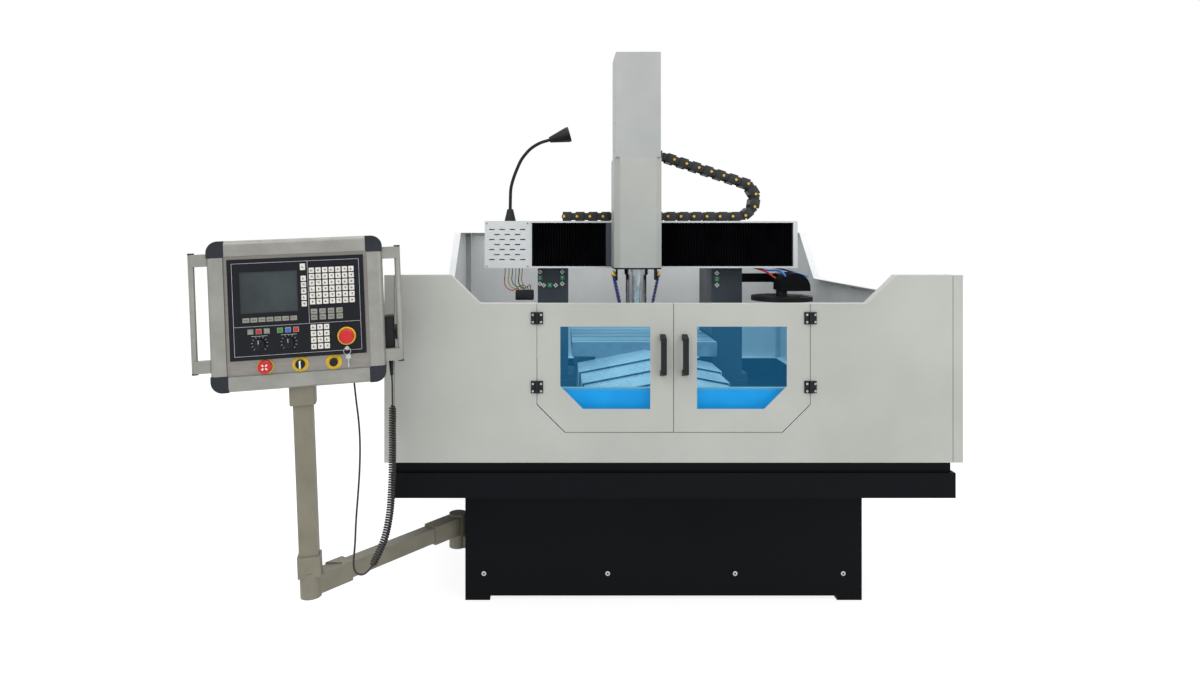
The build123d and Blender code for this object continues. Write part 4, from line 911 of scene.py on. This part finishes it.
# screws of base frame, walls and covers: body, axis, side, radius, places
screwRows = {
    "base": ("machine", "Y", -1, 0.009, [(x, -0.935, 0.098) for x in (-0.652, -0.203, 0.259, 0.651)]),
    "leftWall": ("machine", "X", -1, 0.006, [(-0.955, -1.10 + 0.30 * i, 0.60) for i in range(8)]),
    "rightWall": ("machine", "X", 1, 0.006, [(0.955, -1.10 + 0.30 * i, 0.60) for i in range(8)]),
    "rearWall": ("machine", "Y", 1, 0.006, [(-0.88 + 0.22 * i, 1.040, 0.60) for i in range(9)]),
    "upperCover": ("carriage", "X", 1, 0.004, [(0.0545, -0.30, 1.70 + 0.12 * i) for i in range(4)]),
    "upperCoverLeft": ("carriage", "X", -1, 0.004, [(-0.1385, -0.30, 1.70 + 0.12 * i) for i in range(4)]),
    "motorBox": ("machine", "Y", -1, 0.004,
                 [(x, -0.175, z) for x in (-0.714, -0.527) for z in (1.182, 1.378)]),
    "endCap": ("machine", "X", 1, 0.005, [(0.710, y, z) for y in (-0.10, 0.10) for z in (1.20, 1.36)]),
}
for name, (body, axis, side, radius, places) in screwRows.items():
    parts = []
    for place in places:
        parts += screwHead(place, axis, side, radius)
    mount(joined(name + "Screws", parts), body)
print("screws set")


# axis signs on the uprights: green letter plates between white arrow diamonds
signSpec = {"front": -0.060, "plate": 0.022, "diamond": 0.017, "thick": 0.0008, "edge": 0.0003, "gap": 0.006,
            "letter": 0.020, "letterOut": 0.0002, "letterThick": 0.0003, "arrowShare": 0.62,
            "arrowThick": 0.0006, "arrowSides": 3,
            "signs": [("Z", -0.474, 1.121, "tall"), ("X", -0.428, 1.086, "wide"),
                      ("Y", -0.369, 1.121, "tall"), ("Z", 0.362, 1.115, "tall")]}


def signLetter(letter, x, y, z):
    deselect()
    bpy.ops.object.text_add(location=(x, y, z), rotation=(pi / 2, 0, 0))
    text = bpy.context.object.data
    text.body = letter
    text.size = signSpec["letter"]
    text.align_x = "CENTER"
    text.align_y = "CENTER"
    text.extrude = signSpec["letterThick"]
    bpy.ops.object.convert(target="MESH")
    return settle("letter", signWhite)


def arrowDiamond(x, z, angle):
    half = signSpec["diamond"] / 2
    thick = signSpec["thick"]
    diamond = slab("diamond", (-half, -thick / 2, -half), (half, thick / 2, half), signWhite,
                   signSpec["edge"])
    arrow = turned("arrow", (0, 0, 0), half * signSpec["arrowShare"], signSpec["arrowThick"], "Y",
                   printBlack, 0, signSpec["arrowSides"])
    return [turnedAt(diamond, (x, signSpec["front"] - thick / 2, z), pi / 4),
            turnedAt(arrow, (x, signSpec["front"] - thick, z), angle)]


def makeSigns():
    front = signSpec["front"]
    thick = signSpec["thick"]
    half = signSpec["plate"] / 2
    step = signSpec["plate"] + signSpec["gap"]
    parts = []
    for letter, x, z, way in signSpec["signs"]:
        parts.append(slab("plate", (x - half, front - thick, z - half), (x + half, front, z + half),
                          signGreen, signSpec["edge"]))
        parts.append(signLetter(letter, x, front - thick - signSpec["letterOut"], z))
        for side in (-1, 1):
            if way == "wide":
                parts += arrowDiamond(x + side * step, z, side * pi / 2)
            else:
                parts += arrowDiamond(x, z + side * step, 0 if side > 0 else pi)
    mount(joined("axisSigns", parts), "machine")


makeSigns()


# key lock under the emergency stop, with its ring and key; sizes are placed from the lock's middle
ringSpec = {"left": 0.338, "down": 0.284, "lock": (0.006, 0.004), "lockOut": 0.002, "edge": 0.0004,
            "ring": 0.0105, "wire": 0.0009, "ringOut": 0.0085, "ringDown": 0.009, "bow": (0.008, 0.0018),
            "bowAside": 0.003, "bowDown": 0.026, "bowSides": 28, "ringSteps": 40, "wireSteps": 10,
            "blade": ((-0.0009, -0.010, -0.004), (0.0009, -0.003, 0.004)),
            "shank": ((0.001, -0.0094, -0.058), (0.005, -0.0076, -0.032))}


def makeKeyRing():
    x = panelLeft + ringSpec["left"]
    y = panelSpec["faceY"]
    z = panelTop - ringSpec["down"]
    edge = ringSpec["edge"]
    out = y - ringSpec["ringOut"]
    parts = [turned("lock", (x, y - ringSpec["lockOut"], z), *ringSpec["lock"], "Y", groundSteel),
             slabAt("blade", (x, y, z), ringSpec["blade"], groundSteel, edge)]
    deselect()
    bpy.ops.mesh.primitive_torus_add(
        major_radius=ringSpec["ring"], minor_radius=ringSpec["wire"], major_segments=ringSpec["ringSteps"],
        minor_segments=ringSpec["wireSteps"], location=(x, out, z - ringSpec["ringDown"]),
        rotation=(pi / 2, 0, 0))
    parts.append(settle("ring", groundSteel))
    bow = (x + ringSpec["bowAside"], out, z - ringSpec["bowDown"])
    parts += [turned("bow", bow, *ringSpec["bow"], "Y", groundSteel, edge, ringSpec["bowSides"]),
              slabAt("shank", (x, y, z), ringSpec["shank"], groundSteel, edge)]
    ontoPendant("keyRing", parts)


makeKeyRing()


# lamp lens with six emitters in the mouth of the bell shaped head
lensSpec = {"neckEnd": (-0.428, -0.115, 1.766), "heading": atan2(13, 45), "depth": 0.0945,
            "radius": 0.0305, "thick": 0.003, "edge": 0.001, "sides": 40, "dots": 6, "circle": 0.017,
            "dot": (0.005, 0.0012), "dotUp": 0.0016, "dotEdge": 0.0004, "dotSides": 16}


def makeLens():
    parts = [turned("lens", (0, 0, lensSpec["depth"]), lensSpec["radius"], lensSpec["thick"], "Z", signWhite,
                    lensSpec["edge"], lensSpec["sides"])]
    for index in range(lensSpec["dots"]):
        angle = 2 * pi * index / lensSpec["dots"]
        place = (lensSpec["circle"] * cos(angle), lensSpec["circle"] * sin(angle),
                 lensSpec["depth"] + lensSpec["dotUp"])
        parts.append(turned("led", place, *lensSpec["dot"], "Z", yellowCap, lensSpec["dotEdge"],
                            lensSpec["dotSides"]))
    lens = turnedAt(joined("lampLens", parts), lensSpec["neckEnd"], pi / 2 - lensSpec["heading"])
    mount(lens, "machine")


makeLens()


# junction box beside the left upright, with the motor wires looping down to it
wireSpec = {"box": ((-0.590, -0.060, 1.016), (-0.505, 0.0, 1.062)), "boxEdge": 0.004, "radius": 0.0022,
            "lidMargin": (0.006, 0.005), "lid": 0.002, "lidEdge": 0.001, "top": 1.172, "straight": 0.03,
            "drop": 1.085, "dropStep": 0.008, "firstY": -0.035, "stepY": 0.004, "firstEnd": 0.014,
            "stepEnd": 0.011, "bulge": (-0.006, -0.01), "sag": (-0.012, -0.03), "endDip": 0.008,
            "sunk": 0.001,
            "wires": [(-0.640, redCap), (-0.622, yellowCap), (-0.606, greenCap), (-0.590, printWhite),
                      (-0.574, blackPlastic), (-0.560, brass)]}


def makeWires():
    low, high = wireSpec["box"]
    aside, up = wireSpec["lidMargin"]
    parts = [slab("case", low, high, blackPlastic, wireSpec["boxEdge"]),
             slab("lid", (low[0] + aside, low[1] - wireSpec["lid"], low[2] + up),
                  (high[0] - aside, low[1], high[2] - up), cornerPlastic, wireSpec["lidEdge"])]
    top = wireSpec["top"]
    for index, (x, colour) in enumerate(wireSpec["wires"]):
        y = wireSpec["firstY"] + wireSpec["stepY"] * index
        endX = low[0] + wireSpec["firstEnd"] + wireSpec["stepEnd"] * index
        dip = wireSpec["drop"] + wireSpec["dropStep"] * (index % 3)
        points = [(x, y, top), (x, y, top - wireSpec["straight"]),
                  (x + wireSpec["bulge"][0], y + wireSpec["bulge"][1], dip),
                  ((x + endX) / 2, y + wireSpec["sag"][0], dip + wireSpec["sag"][1]),
                  (endX, y, dip - wireSpec["endDip"]), (endX, y, high[2] - wireSpec["sunk"])]
        parts.append(bentTube("wire", points, wireSpec["radius"], colour, True))
    mount(joined("motorWires", parts), "machine")


makeWires()


# air tubes of the tool disc: blue and red hoses from its housing to the beam
airSpec = {"radius": 0.0042, "routes": [
    (blueCap, [(0.616, -0.345, 1.125), (0.600, -0.372, 1.150), (0.588, -0.300, 1.170),
               (0.560, -0.190, 1.160), (0.545, -0.080, 1.172)]),
    (blueCap, [(0.660, -0.345, 1.120), (0.690, -0.375, 1.150), (0.720, -0.300, 1.140),
               (0.700, -0.150, 1.150), (0.640, -0.040, 1.172)]),
    (redCap, [(0.602, -0.237, 1.120), (0.570, -0.225, 1.150), (0.545, -0.160, 1.165),
              (0.525, -0.060, 1.172)]),
]}
tubes = [bentTube("airTube", route, airSpec["radius"], colour, True) for colour, route in airSpec["routes"]]
mount(joined("airTubes", tubes), "machine")


# corner seams of the front sheet, drawn as thin dark lines
seamSpec = {"corner": 0.922, "front": -1.2002, "low": 0.577, "high": 1.192, "gap": 0.0014, "thick": 0.0006}
seams = []
for side in (-1, 1):
    middle = side * seamSpec["corner"]
    half = seamSpec["gap"] / 2
    seams.append(slab("seam", (middle - half, seamSpec["front"], seamSpec["low"]),
                      (middle + half, seamSpec["front"] + seamSpec["thick"], seamSpec["high"]),
                      printBlack, 0))
mount(joined("cornerSeams", seams), "machine")
print("small parts placed")


# stage, light and camera

def backdropRays(tree):
    # one for the rays that show the backdrop straight, in a shine or through glass
    path = addNode(tree, "ShaderNodeLightPath")
    seen = path.outputs["Is Camera Ray"]
    for kind in ("Is Glossy Ray", "Is Transmission Ray"):
        larger = addNode(tree, "ShaderNodeMath", {"operation": "MAXIMUM"}, {0: seen, 1: path.outputs[kind]})
        seen = larger.outputs[0]
    return seen


stageSpec = {"floor": 30, "ahead": 4, "drop": 0.0005, "floorTone": "#F2F2F0", "seenTone": "#A0A0A0",
             "lift": 0.86, "skyTone": "#F4F6F8", "sky": 0.68}
deselect()
bpy.ops.mesh.primitive_plane_add(size=stageSpec["floor"],
                                 location=(0, stageSpec["ahead"], -stageSpec["drop"]))
floor = bpy.context.object
floor.name = "floor"
# white studio floor: plain to the light, lifted to white for the eye so that only the shadow stays
floorMaterial, tree, shader = newMaterial("paleFloor", stageSpec["floorTone"], 0.8, Specular_IOR_Level=0.0)
seen = backdropRays(tree)
lift = addNode(tree, "ShaderNodeMath", {"operation": "MULTIPLY", 1: stageSpec["lift"]}, {0: seen})
tone = addNode(tree, "ShaderNodeMix", {"data_type": "RGBA", 6: hexColour(stageSpec["floorTone"]),
                                       7: hexColour(stageSpec["seenTone"])}, {0: seen})
tree.links.new(tone.outputs[2], shader.inputs["Base Color"])
shader.inputs["Emission Color"].default_value = (1, 1, 1, 1)
tree.links.new(lift.outputs[0], shader.inputs["Emission Strength"])
floor.data.materials.append(floorMaterial)

world = bpy.data.worlds.new("studio")
bpy.context.scene.world = world
world.use_nodes = True
tree = world.node_tree
tree.nodes.clear()
seen = backdropRays(tree)
ambient = addNode(tree, "ShaderNodeBackground", {"Color": hexColour(stageSpec["skyTone"]),
                                                 "Strength": stageSpec["sky"]})
backdrop = addNode(tree, "ShaderNodeBackground", {"Color": (1, 1, 1, 1), "Strength": 1.0})
mix = addNode(tree, "ShaderNodeMixShader", {}, {0: seen, 1: ambient.outputs[0], 2: backdrop.outputs[0]})
addNode(tree, "ShaderNodeOutputWorld", {}, {"Surface": mix.outputs[0]})

# area lamps: name, place, size, power; all aim at the middle of the machine
lampAim = Vector((0, -0.3, 0.9))
lampSpec = [("key", (-2.6, -4.2, 4.6), 3.2, 64), ("fill", (3.4, -4.6, 3.0), 3.5, 58),
            ("top", (0.3, -0.5, 5.2), 4.0, 110)]
for name, place, size, power in lampSpec:
    light = bpy.data.lights.new(name, "AREA")
    light.size = size
    light.energy = power
    lamp = bpy.data.objects.new(name, light)
    lamp.location = place
    lamp.rotation_euler = (lampAim - Vector(place)).to_track_quat("-Z", "Y").to_euler()
    bpy.context.scene.collection.objects.link(lamp)

# level camera with a shifted lens, as in the photograph
cameraSpec = {"place": (-0.365, -3.840, 1.333), "lens": 24, "sensor": 36, "shiftX": 0.0308,
              "shiftY": -0.0871, "far": 60}
lens = bpy.data.cameras.new("camera")
lens.lens = cameraSpec["lens"]
lens.sensor_width = cameraSpec["sensor"]
lens.shift_x = cameraSpec["shiftX"]
lens.shift_y = cameraSpec["shiftY"]
lens.clip_end = cameraSpec["far"]
camera = bpy.data.objects.new("camera", lens)
camera.location = cameraSpec["place"]
camera.rotation_euler = (pi / 2, 0, 0)
bpy.context.scene.collection.objects.link(camera)
bpy.context.scene.camera = camera
bpy.context.scene.view_settings.view_transform = "Standard"

print("scene ready")
